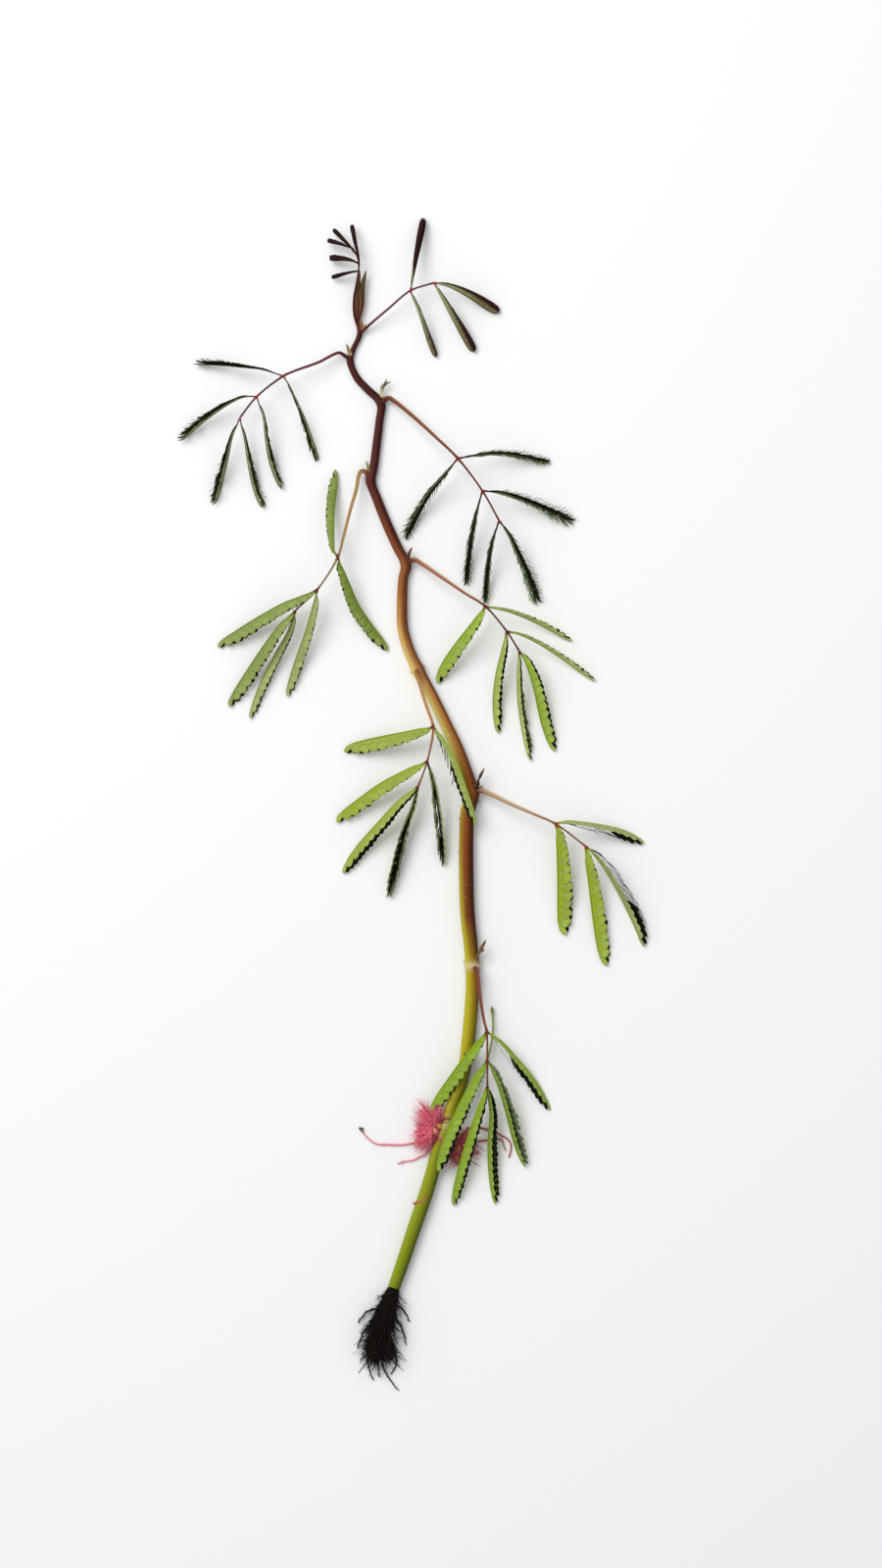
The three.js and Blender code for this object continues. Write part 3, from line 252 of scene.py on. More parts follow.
# leaves from the youngest to the oldest: profile of the pinnae, width of the stalk, how thick their
# feet are, slot, points of the petiole up to the first fork, forks, and the pinnae
LEAVES = {
    "leaf_2": SimpleNamespace(
        profile=CLUB, width=0.8, foot=0.6, slot="leaf_dark",
        base=[[-15.6, 144, 1.2], [-13.2, 146, 2.2], [-6.8, 151.2, 4.4]],
        forks=[[-0.3, 156.3, 5.8], [6.9, 158.7, 6]],
        pinnae=dict(
            a=pinna(0, 2.1, 70, 20, clubbed(pale=(0.6, 0), reach=(0.75, 0.85), dark=True),
                    [0.3, 160.5, 6], [1.4, 167.4, 4.6], [3.6, 179.2, 0.9]),
            b=pinna(0, 1.8, 50, 18, clubbed(pale=(0.9, 0.6), reach=(0.8, 0.9)), [2.6, 149.9, 5],
                    [5.5, 142, 2.8], [7.6, 136.6, 0.9]),
            c=pinna(1, 2.7, 50, 20, clubbed(pale=(0.9, 0.4), reach=(0.8, 0.9)), [10.2, 153.4, 5.4],
                    [15.2, 145.4, 3.2], [19.4, 138.2, 0.9]),
            d=pinna(1, 3, 50, 20, clubbed(pale=(0.6, 0.5), reach=(0.8, 0.9)), [11.8, 157.9, 6],
                    [17.5, 155.7, 4.6], [22.6, 153, 2.6], [26.9, 150.4, 0.9]))),
    "leaf_3": SimpleNamespace(
        profile=THIN_CLUB, width=0.95, foot=0.3, slot="leaf_dark",
        base=[[-18.6, 135.6, 1.1], [-20.7, 137.1, 1.9], [-22.2, 137.7, 2.6], [-28.4, 134.6, 4.4],
              [-35.9, 131.7, 6]],
        forks=[[-39, 130.2, 6.6], [-47.1, 123.9, 6.8], [-52.2, 117.6, 6.4]],
        pinnae=dict(
            a=pinna(0, 1.9, 100, 22, bristling(pale=(0.15, 0.1)), [-45, 132.2, 6.6], [-51, 133.3, 5.2],
                    [-58.5, 134.5, 2.9], [-66.4, 134.9, 0.9]),
            b=pinna(0, 1.9, 125, 22, bristling(pale=(0.6, 0.5)), [-36, 124.5, 6], [-33, 117, 4.2],
                    [-30.9, 110.4, 2.2], [-28.8, 104.4, 0.9]),
            c=pinna(1, 2.4, 115, 22, bristling(pale=(0.4, 0.5)), [-50.4, 124.1, 7], [-54.9, 122.6, 6.2],
                    [-61.5, 119.2, 4.2], [-66.6, 115.7, 2.4], [-71.5, 111.3, 0.9]),
            d=pinna(1, 2.1, 50, 22, bristling(pale=(0.7, 0.6)), [-45.1, 118.5, 6.2], [-44.1, 112.4, 5],
                    [-42.6, 104.8, 2.9], [-39.5, 96.4, 0.9]),
            e=pinna(2, 2.7, 125, 24, bristling(), [-54.6, 112.5, 6.4], [-57, 105, 4.2],
                    [-59.4, 97.5, 2.2], [-61.2, 91.5, 0.9]),
            f=pinna(2, 2.4, 50, 24, bristling(pale=(0.7, 0.7)), [-50.8, 111.8, 5.2], [-49, 103.3, 3.2],
                    [-47.1, 95.8, 1.6], [-45, 90.5, 0.9]))),
    "leaf_4": SimpleNamespace(
        profile=CLUB, width=1.3, foot=0.85, slot="leaf_dark",
        base=[[-9.6, 122.4, 1.3], [-6.9, 123.9, 2.3], [-5.5, 123.1, 3], [-0.3, 118.8, 4.6],
              [7.2, 111.8, 6.8]],
        forks=[[14.1, 105, 8.2], [21.6, 95.1, 8.2], [26.7, 86.1, 7.6]],
        pinnae=dict(
            a=pinna(0, 2.3, 70, 30, feathery(), [19.5, 106.1, 7.9], [25.5, 107.1, 6.2], [30, 107.1, 4.6],
                    [36, 106.2, 2.6], [42.8, 104.8, 0.9]),
            b=pinna(0, 2.6, 65, 26, feathery(fuzz=0.7), [10.4, 99.9, 7.2], [5.8, 94, 5],
                    [1.9, 87.1, 2.7], [-1.5, 80.4, 0.9]),
            c=pinna(1, 3.5, 70, 32, feathery(fuzz=0.7), [27, 94.9, 8.2], [32.9, 93.6, 6.6],
                    [38.9, 91.6, 4.4], [45, 89.1, 2.5], [50.3, 86.3, 0.9]),
            d=pinna(1, 2.8, 90, 32, feathery(hairs=(1, -1), core=0.5), [20, 89.4, 7.4], [18.5, 82.5, 5],
                    [17.5, 75, 2.6], [16.6, 66.6, 0.9]),
            e=pinna(2, 2.5, 90, 34, feathery(hairs=(1, -1), core=0.55), [24.5, 79.5, 6.4],
                    [23.3, 72, 3.9], [22.8, 66, 2], [22.5, 60.9, 0.9]),
            f=pinna(2, 3.6, 70, 34, feathery(fuzz=0.8), [29.7, 82.4, 7.4], [33.4, 75.8, 5],
                    [37, 68.4, 2.7], [39.4, 60.9, 0.9]))),
    "leaf_5": SimpleNamespace(
        profile=SPINDLE, width=1.2, foot=1, slot="leaf_mid",
        base=[[-12.6, 99, 1.4], [-14.1, 101.4, 2.2], [-15.4, 101.5, 2.8], [-16.2, 99.7, 3.3],
              [-16.7, 96.5, 4], [-18.5, 89.9, 5.4], [-20.6, 81.5, 7]],
        forks=[[-22.4, 75, 7.8], [-28.6, 65.2, 7.8], [-35.2, 58.9, 7.2]],
        pinnae=dict(
            a=pinna(0, 2.15, 0, 13, [*folded(edge=(0.02, 0.04), pale=(0.3, 0.2), first=0.12),
                    hair_row(-1, start=0.1, end=0.42, first=0.08, pitch=1.6, longest=5.6,
                    reach=(1.4, 1.2), bow=1)], [-23.6, 76.8, 7.8], [-24.1, 79.8, 7.4], [-24.4, 84, 6.2],
                    [-24.5, 90, 4], [-23.9, 96, 2.2], [-23.2, 102, 0.9]),
            b=pinna(0, 2.9, 180, 13, [*folded(edge=(0.02, 0.14), first=0.14), row(-1, start=0.14,
                    end=0.26, first=0.1, pitch=4, blade=1.1, longest=5.4, reach=(1.5, 1.5))],
                    [-21.3, 71.2, 7.4], [-19.5, 66, 5.8], [-17.2, 60, 3.8], [-13.1, 53.7, 2],
                    [-7.4, 46.9, 0.9]),
            c=pinna(1, 3.1, 0, 13, folded(edge=(0.03, 0.14), pale=(0.5, 0.4)), [-32.8, 62.6, 8.4],
                    [-38.6, 60, 7], [-46.2, 55.6, 4.2], [-53.8, 51, 2], [-59.2, 48.1, 0.9]),
            d=pinna(1, 2.3, 0, 13, folded(edge=(0.04, 0.22), blade=2.4, pitch=2.1, pale=(0.9, 0.9),
                    first=0.14), [-29.6, 59.4, 7], [-31.8, 51.1, 4.6], [-34.4, 43.6, 2.4],
                    [-38, 32.8, 0.9]),
            e=pinna(2, 3.1, 0, 13, folded(edge=(0.04, 0.2), pale=(0.5, 0.4)), [-39.4, 54, 7.6],
                    [-44.5, 46.8, 5], [-49.1, 39.7, 2.7], [-55.8, 29.8, 0.9]),
            f=pinna(2, 2.1, 12, 14, folded(edge=(0.05, 0.18), blade=2.3, pitch=2.1, pale=(0.9, 1),
                    first=0.12), [-37, 52.7, 5.4], [-40.6, 45.9, 3.2], [-45.3, 36.4, 1.6],
                    [-49.4, 26, 0.9]))),
    "leaf_6": SimpleNamespace(
        profile=SPINDLE, width=1.3, foot=1, slot="leaf_mid",
        base=[[-1.8, 72.9, 1.7], [-0.2, 74.2, 2.4], [1.2, 74.4, 3], [3.2, 73.2, 3.8], [8.9, 69.2, 5.6],
              [16.4, 64, 7.2]],
        forks=[[22.5, 60, 8], [29, 52.4, 8], [32.8, 46.5, 7.4]],
        pinnae=dict(
            a=pinna(0, 1.5, 35, 15, [row(1, pale=(1, 1), blade=1.7, pitch=2.6, longest=4),
                    row(-1, reach=(0.4, 1), blade=1.3, pitch=1.8, longest=4)], [28.4, 59.1, 7.6],
                    [34.4, 57.3, 5.6], [41.8, 54, 2.9], [49, 49.8, 1.2]),
            b=pinna(0, 3.1, 0, 13, folded(edge=(0.04, 0.14)), [18.9, 54.2, 7.2], [14.4, 47.8, 5],
                    [10.4, 41.7, 2.6], [7.9, 36.9, 0.9]),
            c=pinna(1, 1.4, 35, 15, [row(1, pale=(0.9, 0.9), blade=1.6, pitch=2.6, longest=4),
                    row(-1, reach=(0.5, 1), blade=1.2, pitch=1.8, longest=4)], [32.9, 51.7, 7.8],
                    [38.8, 49.2, 6], [46.3, 44.7, 3.4], [52.3, 40.4, 1.8], [56.2, 37.5, 1.2]),
            d=pinna(1, 2.4, 32, 17, folded(edge=(0, 0.06), pale=(0.5, 0.5), blade=2.4), [28.1, 46.5, 7],
                    [26.7, 39, 4.6], [26.1, 31.5, 2.4], [26.5, 21.6, 0.9]),
            e=pinna(2, 2.2, 45, 20, [row(1, reach=(1, 0.6), pale=(1, 1), pitch=1.9, blade=2, smooth=0.5),
                    row(-1, reach=(0.8, 1), pale=(0.4, 0.25), turn=(8, 26), pitch=1.6, blade=1.5,
                    longest=4.4, uneven=0.1)], [32.9, 39, 5.8], [33.4, 31.5, 3.6], [34.6, 24, 1.9],
                    [36.5, 13.2, 0.9]),
            f=pinna(2, 3.1, 20, 14, folded(edge=(0.06, 0.25), pale=(0.1, 0.1)), [35.9, 42, 7],
                    [38.7, 34.5, 4.8], [41, 25.5, 2.4], [43.8, 16.2, 0.9]))),
    "leaf_7": SimpleNamespace(
        profile=SPINDLE, width=1.2, foot=1.1, slot="leaf_bright",
        base=[[1.8, 41.1, 1.8], [1.7, 39.8, 4.1], [3.1, 34.5, 5.2], [5, 28.5, 6.4]],
        forks=[[6.6, 23.4, 7], [4.8, 12.9, 7], [2.1, 5.4, 6.5]],
        pinnae=dict(
            a=pinna(0, 3.8, 0, 12, folded(edge=(0.02, 0.1), pale=(0.25, 0.2)), [0, 21.1, 6.6],
                    [-7.5, 19.1, 4.2], [-14.5, 17.5, 2.2], [-20.5, 16.2, 0.9]),
            b=pinna(0, 2.3, 190, 16, fringed(edge=(0.5, 0.6), pale=(0.75, 0.6), lines=(0.04, 0.6),
                    far=(2.1, 1.4), pitch=2.1, size=8, shut=0.46, grey=0.5), [9.2, 19.8, 7.2],
                    [12.7, 12.6, 6.9], [15.6, 4.5, 6.7], [17.7, -1.5, 6.3], [19.3, -6.6, 5.8]),
            c=pinna(1, 3.4, 0, 12, folded(edge=(0.01, 0.06), pitch=2.5, pale=(0.1, 0)), [-1.4, 9.4, 7.2],
                    [-9, 4.8, 4.6], [-15.8, -0.3, 2.4], [-23, -5.4, 0.9]),
            d=pinna(1, 2.4, 90, 26, parted(-1, 0.42, pale=(1, 0.9), shut=0.82), [6.5, 7.4, 6.6],
                    [8, -1.5, 4.4], [9, -10.5, 2.4], [9.9, -19.2, 0.9]),
            e=pinna(2, 3.4, 30, 15, folded(edge=(0.06, 0.4), pale=(0.35, 0.15), ragged=20),
                    [-3.6, 0, 7.2], [-9.5, -7.1, 4.8], [-15.4, -14, 2.2], [-20.8, -21.3, 0.9]),
            f=pinna(2, 2.6, 90, 26, [*parted(1, 0.5, pale=(1, 0.8), shut=0.58), row(-1, start=0.44,
                    end=0.62, pitch=2.4, blade=2.4, reach=(0.9, 0.9))], [0.4, -1.5, 4.6],
                    [-2.3, -9, 3.2], [-4.7, -17.9, 1.9], [-7.3, -29, 0.9]))),
    "leaf_8": SimpleNamespace(
        profile=SPINDLE, width=1.5, foot=1.35, slot="leaf_bright",
        base=[[18.3, 3, 2.1], [21, 4, 3.2], [24, 3, 4.2], [29.9, 0.1, 5.6], [37.4, -3.2, 7]],
        forks=[[43.8, -6.1, 7.6], [53, -12.9, 7.2]],
        pinnae=dict(
            a=pinna(0, 2.6, 150, 18, fringed(edge=(0.56, 0.46), pale=(0.75, 0.6), lines=(0.04, 0.8),
                    far=(1, 1.08), pitch=1.25, shut=0.76, bow=1.35), [46.8, -5.7, 7.8], [51, -6.3, 6.9],
                    [56.9, -7.4, 4.9], [64.4, -9.3, 2.5], [71.1, -12.3, 0.9]),
            b=pinna(0, 4.4, 0, 11, folded(edge=(0.05, 0.13), pale=(0, 0), blade=3.3, pitch=2.5),
                    [44.9, -9.6, 7.2], [46.1, -18, 4.9], [46.7, -25.5, 2.9], [46.8, -33, 1.5],
                    [46.7, -40, 0.9]),
            c=pinna(1, 3.8, 0, 11, folded(edge=(0.03, 0.16), pale=(0, 0), blade=3.1, pitch=2.4),
                    [53.4, -15.6, 6.9], [55.3, -24, 4.6], [56.9, -33, 2.4], [58.3, -42, 1.2],
                    [59.5, -49.4, 0.9]),
            d=pinna(1, 3.1, 50, 22, fringed(edge=(0.4, 0.3), pale=(0.65, 0.55), lines=(0.06, 0.95),
                    far=(1.15, 1.12), pitch=1.7, shut=0.7, bow=1.75, tilt=-12), [57.8, -17.2, 6.8],
                    [62.6, -23.8, 4.8], [66.9, -31.4, 2.6], [70.2, -39, 1.2], [71.3, -43.6, 0.9]))),
    "leaf_9": SimpleNamespace(
        profile=SPINDLE, width=1.2, foot=1, slot="leaf_bright",
        base=[[18.6, -49.5, 2.1], [19.9, -51.2, 5.1], [20.9, -58.5, 6.1], [22.1, -66, 6.9]],
        forks=[[22.9, -69.3, 7.2], [23.1, -78, 7.4], [23.1, -85.8, 7]],
        pinnae=dict(
            a=pinna(0, 3.4, 0, 12, folded(edge=(0.06, 0.22), pale=(0, 0)), [19.9, -73.7, 7],
                    [15.9, -79.6, 6.2], [11.3, -86.6, 4.6], [6.2, -93.8, 3.4]),
            b=pinna(0, 2.4, 150, 18, fringed(edge=(0.42, 0.5), pale=(0.2, 0.3), lines=(0.04, 0.56),
                    far=(1.7, 1.3), pitch=2.0, size=8.5, shut=0.48, bow=1.1, grey=0.8), [27, -72.7, 6.8],
                    [31.5, -78.1, 4.8], [36.9, -85.2, 2.4], [42.2, -93.9, 0.9]),
            c=pinna(1, 3.6, 0, 12, folded(edge=(0.1, 0.44), pale=(0, 0)), [19.3, -84.8, 7.2],
                    [14.8, -94.5, 6.8], [11.2, -103.5, 6.2], [8.4, -111.9, 5.4]),
            d=pinna(1, 3.2, 45, 20, [row(1, reach=(0.75, 0.62), pale=(0.3, 0.2), pitch=2, blade=2.2),
                    row(-1, pale=(0.5, 0.35), turn=(8, 26), pitch=1.8, blade=1.8, longest=4.8,
                    uneven=0.1)], [26.8, -84.6, 7], [29.8, -93, 5.4], [32.3, -102, 3.6], [35, -111, 1.2]),
            e=pinna(2, 3, 20, 14, [*folded(edge=(0.1, 0.42), pale=(0, 0), ragged=45), row(-1, start=0.1,
                    end=0.26, first=0.1, pitch=4, blade=1.2, longest=6.4, reach=(1.25, 1.25),
                    dark=True)], [20.9, -93, 7.2], [17.9, -103.5, 5.6], [15.5, -112.5, 3.9],
                    [12.9, -123, 0.9]),
            f=pinna(2, 2.9, 40, 18, [*folded(edge=(0.35, 0.5), pale=(0.4, 0.2), ragged=30, blade=2.4),
                    hair_row(-1, start=0.1, end=0.2, first=0.1, pitch=4, longest=5, reach=(1.1, 1.1),
                    bow=1)], [24.8, -94.5, 4.9], [24.6, -103.5, 3.6], [25, -112.5, 2.2],
                    [25.9, -122.4, 0.9]))),
}

# Curves and closed bodies


def measured_path(points, count):
    """Curve through given points, in even steps of length, and its length. Between two points it is a
    cubic whose speed at each end comes from the neighbours, with the square root of the distance as
    parameter."""
    p = np.asarray(points, float)
    p = np.vstack([2 * p[0] - p[1], p, 2 * p[-1] - p[-2]])
    gap = np.sqrt(np.linalg.norm(np.diff(p, axis=0), axis=1))[:, None]
    p0, p1, p2, p3 = p[:-3], p[1:-2], p[2:-1], p[3:]
    d0, d1, d2 = gap[:-2], gap[1:-1], gap[2:]
    speed1 = ((p1 - p0) / d0 - (p2 - p0) / (d0 + d1) + (p2 - p1) / d1) * d1
    speed2 = ((p2 - p1) / d1 - (p3 - p1) / (d1 + d2) + (p3 - p2) / d2) * d1
    t = np.linspace(0, 1, 40, endpoint=False)[None, :, None]
    a, b, c, d = (part[:, None] for part in (p1, speed1, p2, speed2))
    cubic = (2 * a - 2 * c + b + d) * t**3 + (3 * c - 3 * a - 2 * b - d) * t**2 + b * t + a
    dense = np.vstack([cubic.reshape(-1, 3), p[-2]])
    length = np.concatenate([[0], np.cumsum(np.linalg.norm(np.diff(dense, axis=0), axis=1))])
    even = np.linspace(0, length[-1], count)
    return np.stack([np.interp(even, length, dense[:, axis]) for axis in range(3)], 1), length[-1]


def smooth_path(points, count):
    """The curve of measured_path, without its length."""
    return measured_path(points, count)[0]


def rise(x, start, span):
    """0 up to the start, then even growth to 1 over the span."""
    return np.clip((x - start) / span, 0, 1)


def between(pair, share):
    """From the first number of a pair to the second, evenly with the share."""
    return pair[0] + (pair[1] - pair[0]) * share


def unit(vectors):
    """Vectors divided by their lengths."""
    return vectors / np.maximum(np.linalg.norm(vectors, axis=-1, keepdims=True), 1e-9)


def ways(path):
    """Along, left and up at each point of paths (..., n, 3): left is level and up is square to both.
    A path that climbs steeply takes its left from the X axis instead of from the vertical."""
    along = unit(np.gradient(path, axis=-2))
    steep = np.abs(along[..., 2]).mean(-1)[..., None, None] > 0.85
    left = unit(np.cross(np.where(steep, np.array([1.0, 0, 0]), UP), along))
    return along, left, np.cross(along, left)


def tubes(paths, radii, sides, ribs=0.0, rib_count=5, flat=1.0):
    """Round bodies along paths (m, n, 3) with radii (m, n): at an angle round the path a point stands
    off by radius times (1 + ribs cos(rib_count angle)), times flat in the upright direction."""
    left, up = ways(paths)[1:]
    angle = 2 * np.pi * (np.arange(sides) + 0.5) / sides - np.pi / 2
    reach = (radii[..., None] * (1 + ribs * np.cos(rib_count * angle)))[..., None]
    grid = paths[..., None, :] + reach * (np.cos(angle)[:, None] * left[..., None, :]
                                          + flat * np.sin(angle)[:, None] * up[..., None, :])
    return grid, angle


def marks_of(grid, x, y, z):
    """Three numbers at each corner of a grid of bodies, for the materials to read."""
    shape = grid.shape[:3]
    return np.stack([np.broadcast_to(part, shape) for part in (x, y, z)], -1)


def add_piece(name, bodies, material, slot, *nodes):
    """One mesh from closed bodies. A body is a stack of rings: quads join neighbouring rings, and one
    flat face closes each end. bodies holds (grid (m, n, k, 3) in mm, form marks, growth marks) and, for
    leaflets, tile marks too."""
    corners, sizes, spots, count = [], [], [], 0
    marks = {"form": [], "growth": [], "tile": []}
    for grid, *given in bodies:
        m, n, k = grid.shape[:3]
        number = count + np.arange(m * n * k).reshape(m, n, k)
        here, there = number[:, :-1], number[:, 1:]
        quads = np.stack([here, np.roll(here, -1, 2), np.roll(there, -1, 2), there], -1)
        ends = np.concatenate([number[:, 0, ::-1], number[:, -1]])
        corners += [quads.ravel(), ends.ravel()]
        sizes += [np.full(quads.size // 4, 4), np.full(len(ends), k)]
        spots.append(grid.reshape(-1, 3))
        for label, values in zip(marks, [*given, np.zeros(grid.shape)]):
            marks[label].append(values.reshape(-1, 3))
        count += m * n * k
    corners, sizes = np.concatenate(corners), np.concatenate(sizes)
    mesh = bpy.data.meshes.new(name)
    mesh.vertices.add(count)
    mesh.vertices.foreach_set("co", (np.concatenate(spots) * MM).astype(np.float32).ravel())
    mesh.loops.add(len(corners))
    mesh.loops.foreach_set("vertex_index", corners.astype(np.int32))
    mesh.polygons.add(len(sizes))
    mesh.polygons.foreach_set("loop_start", (np.cumsum(sizes) - sizes).astype(np.int32))
    mesh.polygons.foreach_set("use_smooth", np.ones(len(sizes), bool))
    for label, values in marks.items():
        mark = mesh.attributes.new(label, "FLOAT_VECTOR", "POINT")
        mark.data.foreach_set("vector", np.concatenate(values).astype(np.float32).ravel())
    mesh.update(calc_edges=True)
    mesh.materials.append(material)
    piece = bpy.data.objects.new(name, mesh)
    bpy.context.scene.collection.objects.link(piece)
    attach(piece, "root")
    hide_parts(*nodes)


# Materials


def tint(code):
    """Scene colour of a six-figure screen colour."""
    screen = np.array([int(code[i:i + 2], 16) / 255 for i in (1, 3, 5)])
    linear = np.where(screen <= 0.04045, screen / 12.92, ((screen + 0.055) / 1.055) ** 2.4)
    return (*linear.tolist(), 1.0)


def put(tree, kind, inputs=None, **settings):
    """A node with its settings, and a value or a wire on each named input."""
    node = tree.nodes.new(kind)
    for key, value in settings.items():
        setattr(node, key, value)
    for key, value in (inputs or {}).items():
        if isinstance(value, Wire):
            tree.links.new(value.socket, node.inputs[key])
        else:
            node.inputs[key].default_value = value
    return node


class Wire:
    """A value on its way through a shader tree. Sums with other wires and numbers are Math nodes."""

    def __init__(self, socket):
        self.socket = socket

    def through(self, kind, inputs, output=0, **settings):
        """What a new node in the same tree makes of its inputs."""
        return Wire(put(self.socket.id_data, kind, inputs, **settings).outputs[output])

    def math(self, operation, other=0.0):
        return self.through("ShaderNodeMath", {0: self, 1: other}, operation=operation)

    def __add__(self, other):
        return self.math("ADD", other)

    def __sub__(self, other):
        return self.math("SUBTRACT", other)

    def __mul__(self, other):
        return self.math("MULTIPLY", other)

    def parts(self):
        """The three numbers of a vector."""
        split = put(self.socket.id_data, "ShaderNodeSeparateXYZ", {0: self})
        return [Wire(socket) for socket in split.outputs]

    def mix(self, one, two):
        """Colour that goes from one to two with this share."""
        return self.through("ShaderNodeMix", {0: self, 6: one, 7: two}, 2, data_type="RGBA")

    def ease(self, low, high, start=0.0, end=1.0):
        """Smooth step from start to end while this goes from low to high."""
        return self.through("ShaderNodeMapRange", {"Value": self, "From Min": low, "From Max": high,
                                                   "To Min": start, "To Max": end},
                            interpolation_type="SMOOTHSTEP")

    def cloud(self, scale, detail=3.0, stretch=None):
        """Noise from 0 to 1 over this vector, which may be stretched first."""
        vector = self.through("ShaderNodeMapping", {"Vector": self, "Scale": stretch}) if stretch else self
        return self.through("ShaderNodeTexNoise", {"Vector": vector, "Scale": scale, "Detail": detail})

    def cells(self, scale):
        """Distance to the nearest of scattered points over this vector."""
        return self.through("ShaderNodeTexVoronoi", {"Vector": self, "Scale": scale}, "Distance")

    def ramp(self, stops):
        """Colours at places between 0 and 1, from a dictionary of place to screen colour."""
        node = put(self.socket.id_data, "ShaderNodeValToRGB", {"Fac": self})
        points = node.color_ramp.elements
        for index, (place, code) in enumerate(sorted(stops.items())):
            point = points[index] if index < 2 else points.new(place)
            point.position = place
            point.color = tint(code)
        return Wire(node.outputs[0])

    def lightened(self, value):
        """This colour with its brightness times a value."""
        return self.through("ShaderNodeHueSaturation", {"Value": value, "Color": self})


def skin_group(name, build, colours=(), numbers=()):
    """Shader group with named colours and numbers as inputs, and Colour, Roughness and Height as
    outputs. build makes those three from the inputs, the place on the object and the three marks."""
    tree = bpy.data.node_groups.new(name, "ShaderNodeTree")
    for labels, kind, way in ((colours, "Color", "INPUT"), (numbers, "Float", "INPUT"),
                              (["Colour"], "Color", "OUTPUT"), (["Roughness", "Height"], "Float", "OUTPUT")):
        for label in labels:
            tree.interface.new_socket(label, in_out=way, socket_type=f"NodeSocket{kind}")
    given = {entry.name: Wire(entry) for entry in tree.nodes.new("NodeGroupInput").outputs}
    spot = Wire(tree.nodes.new("ShaderNodeTexCoord").outputs["Object"])
    marks = [Wire(put(tree, "ShaderNodeAttribute", attribute_name=label).outputs["Vector"])
             for label in ("form", "growth", "tile")]
    end = tree.nodes.new("NodeGroupOutput")
    for value, entry in zip(build(given, spot, *marks), end.inputs):
        tree.links.new(value.socket, entry)
    return tree


def leaflet_skin(given, spot, form, growth, tile):
    """Leaflets and the rachilla that carries them. Form marks: share along the blade, place across it
    from -1 to 1, and face (1 the back, 0 the inner face, 2 the rachilla). Growth marks: share along the
    pinna, the leaflet's own tone, and how pale it is. Tile marks: where on this blade the middle of the
    margin of the blade over it lies, along and across, and on a closed part the blade's number; both
    place painted shade, beside the blade over this one and along the seams between close-set blades.
    The inner face's near-black is the leaflet's dark upper face deepened with painted shade."""
    blade, across, face = form.parts()
    share, tone, pale = growth.parts()
    centre, offset, number = tile.parts()
    pale_back, inner = given["Pale back"], given["Inner face"]
    mottle = spot.cloud(700.0, 4.0)
    fine = spot.cloud(5200.0, 2.0)
    veins = form.cloud(5.0, 2.0, (1.2, 7.0, 1.0))
    back = pale.mix(given["Back"], pale_back)
    drift = (mottle - 0.5) * 0.9 + share
    back = (drift.ease(0.25, 0.75) * given["Change"]).mix(back, given["Far"])
    back = mottle.ease(0.35, 0.7, 0.0, 0.35).mix(back, pale_back)
    back = (fine.ease(0.5, 0.72) * given["Freckles"]).mix(back, inner)
    back = veins.ease(0.5, 0.75, 0.0, 0.22).mix(back, pale_back)
    width = across.math("ABSOLUTE")
    midrib = width.ease(0.05, 0.16, 0.25, 0.0)
    back = blade.ease(0.35, 0.95, 0.0, 0.12).mix(back, pale_back)
    # the backs' margins take the margin colour, pale on the green leaflets: a painted highlight along the
    # edge
    back = (width.ease(0.62, 0.95) * blade.ease(0.4, 0.8, 0.0, 0.3)).mix(back, given["Margin"])
    back = midrib.mix(back, pale_back)
    # painted shade just outside the rounded margin of the leaflet that lies over this one
    beyond = (blade - centre).math("MAXIMUM") * 5.56
    beside = (across + offset).math("ABSOLUTE")
    gap = (beyond.math("POWER", 2.4) + beside.math("POWER", 2.4)).math("POWER", 0.42)
    overlap_shade = gap.ease(1.15, 1.03) * blade.ease(0.62, 0.86)
    back = (overlap_shade * given["Overlap shade"]).mix(back, inner)
    # painted shade lines along the seams between blades that lie close together
    seam_shade = (number.math("FRACT") - 0.5).math("ABSOLUTE").ease(0.4, 0.5)
    seam_shade = seam_shade * number.math("GREATER_THAN", 0.5) * blade.ease(0.08, 0.5, 0.0, 0.45)
    back = seam_shade.mix(back, inner)
    # inner faces turn to the margin colour towards their tips: painted light on margins that catch it
    rim_highlight = blade.ease(0.3, 0.75) * given["Margin highlight"] * pale.ease(0.1, 0.8)
    colour = face.ease(0.3, 0.55).mix(rim_highlight.mix(inner, given["Margin"]), back)
    colour = (blade.ease(0.78, 1.0) * given["Dark tip"]).mix(colour, inner)
    colour = blade.ease(0.12, 0.0, 0.0, 0.5).mix(colour, given["Foot"])
    colour = colour.lightened(tone * 0.2 + 0.86)
    stalk = share.ease(0.01, 0.06).mix(given["Foot"], pale.mix(given["Rachilla"], inner))
    return face.ease(1.4, 1.6).mix(colour, stalk), mottle * 0.25 + 0.5, veins * 0.6 + fine * 0.4 + midrib


def stalk_skin(given, spot, form, growth, tile):
    """Stalks. Form marks: cosine and sine of the angle round the stalk, and share along it. Growth
    marks: nearness to a fork or node, own tone, and nearness to the foot."""
    side, share = form.parts()[::2]
    near, foot = growth.parts()[::2]
    grain = form.cloud(14.0, 4.0, (1.0, 1.0, 6.0))
    fine = spot.cloud(3800.0, 3.0)
    colour = share.ease(0.35, 0.75).mix(given["Petiole"], given["Rachis"])
    lit = (grain * 0.6 + side).ease(-0.1, 0.9) * given["Streaks"] * share.ease(0.4, 0.7, 1.0, 0.35)
    colour = lit.mix(colour, given["Sunlit"])
    colour = fine.ease(0.5, 0.75, 0.0, 0.3).mix(colour, given["Knee"])
    colour = foot.mix(near.mix(colour, given["Fork"]), given["Knee"])
    return colour, grain * 0.25 + 0.36, grain + fine * 0.5


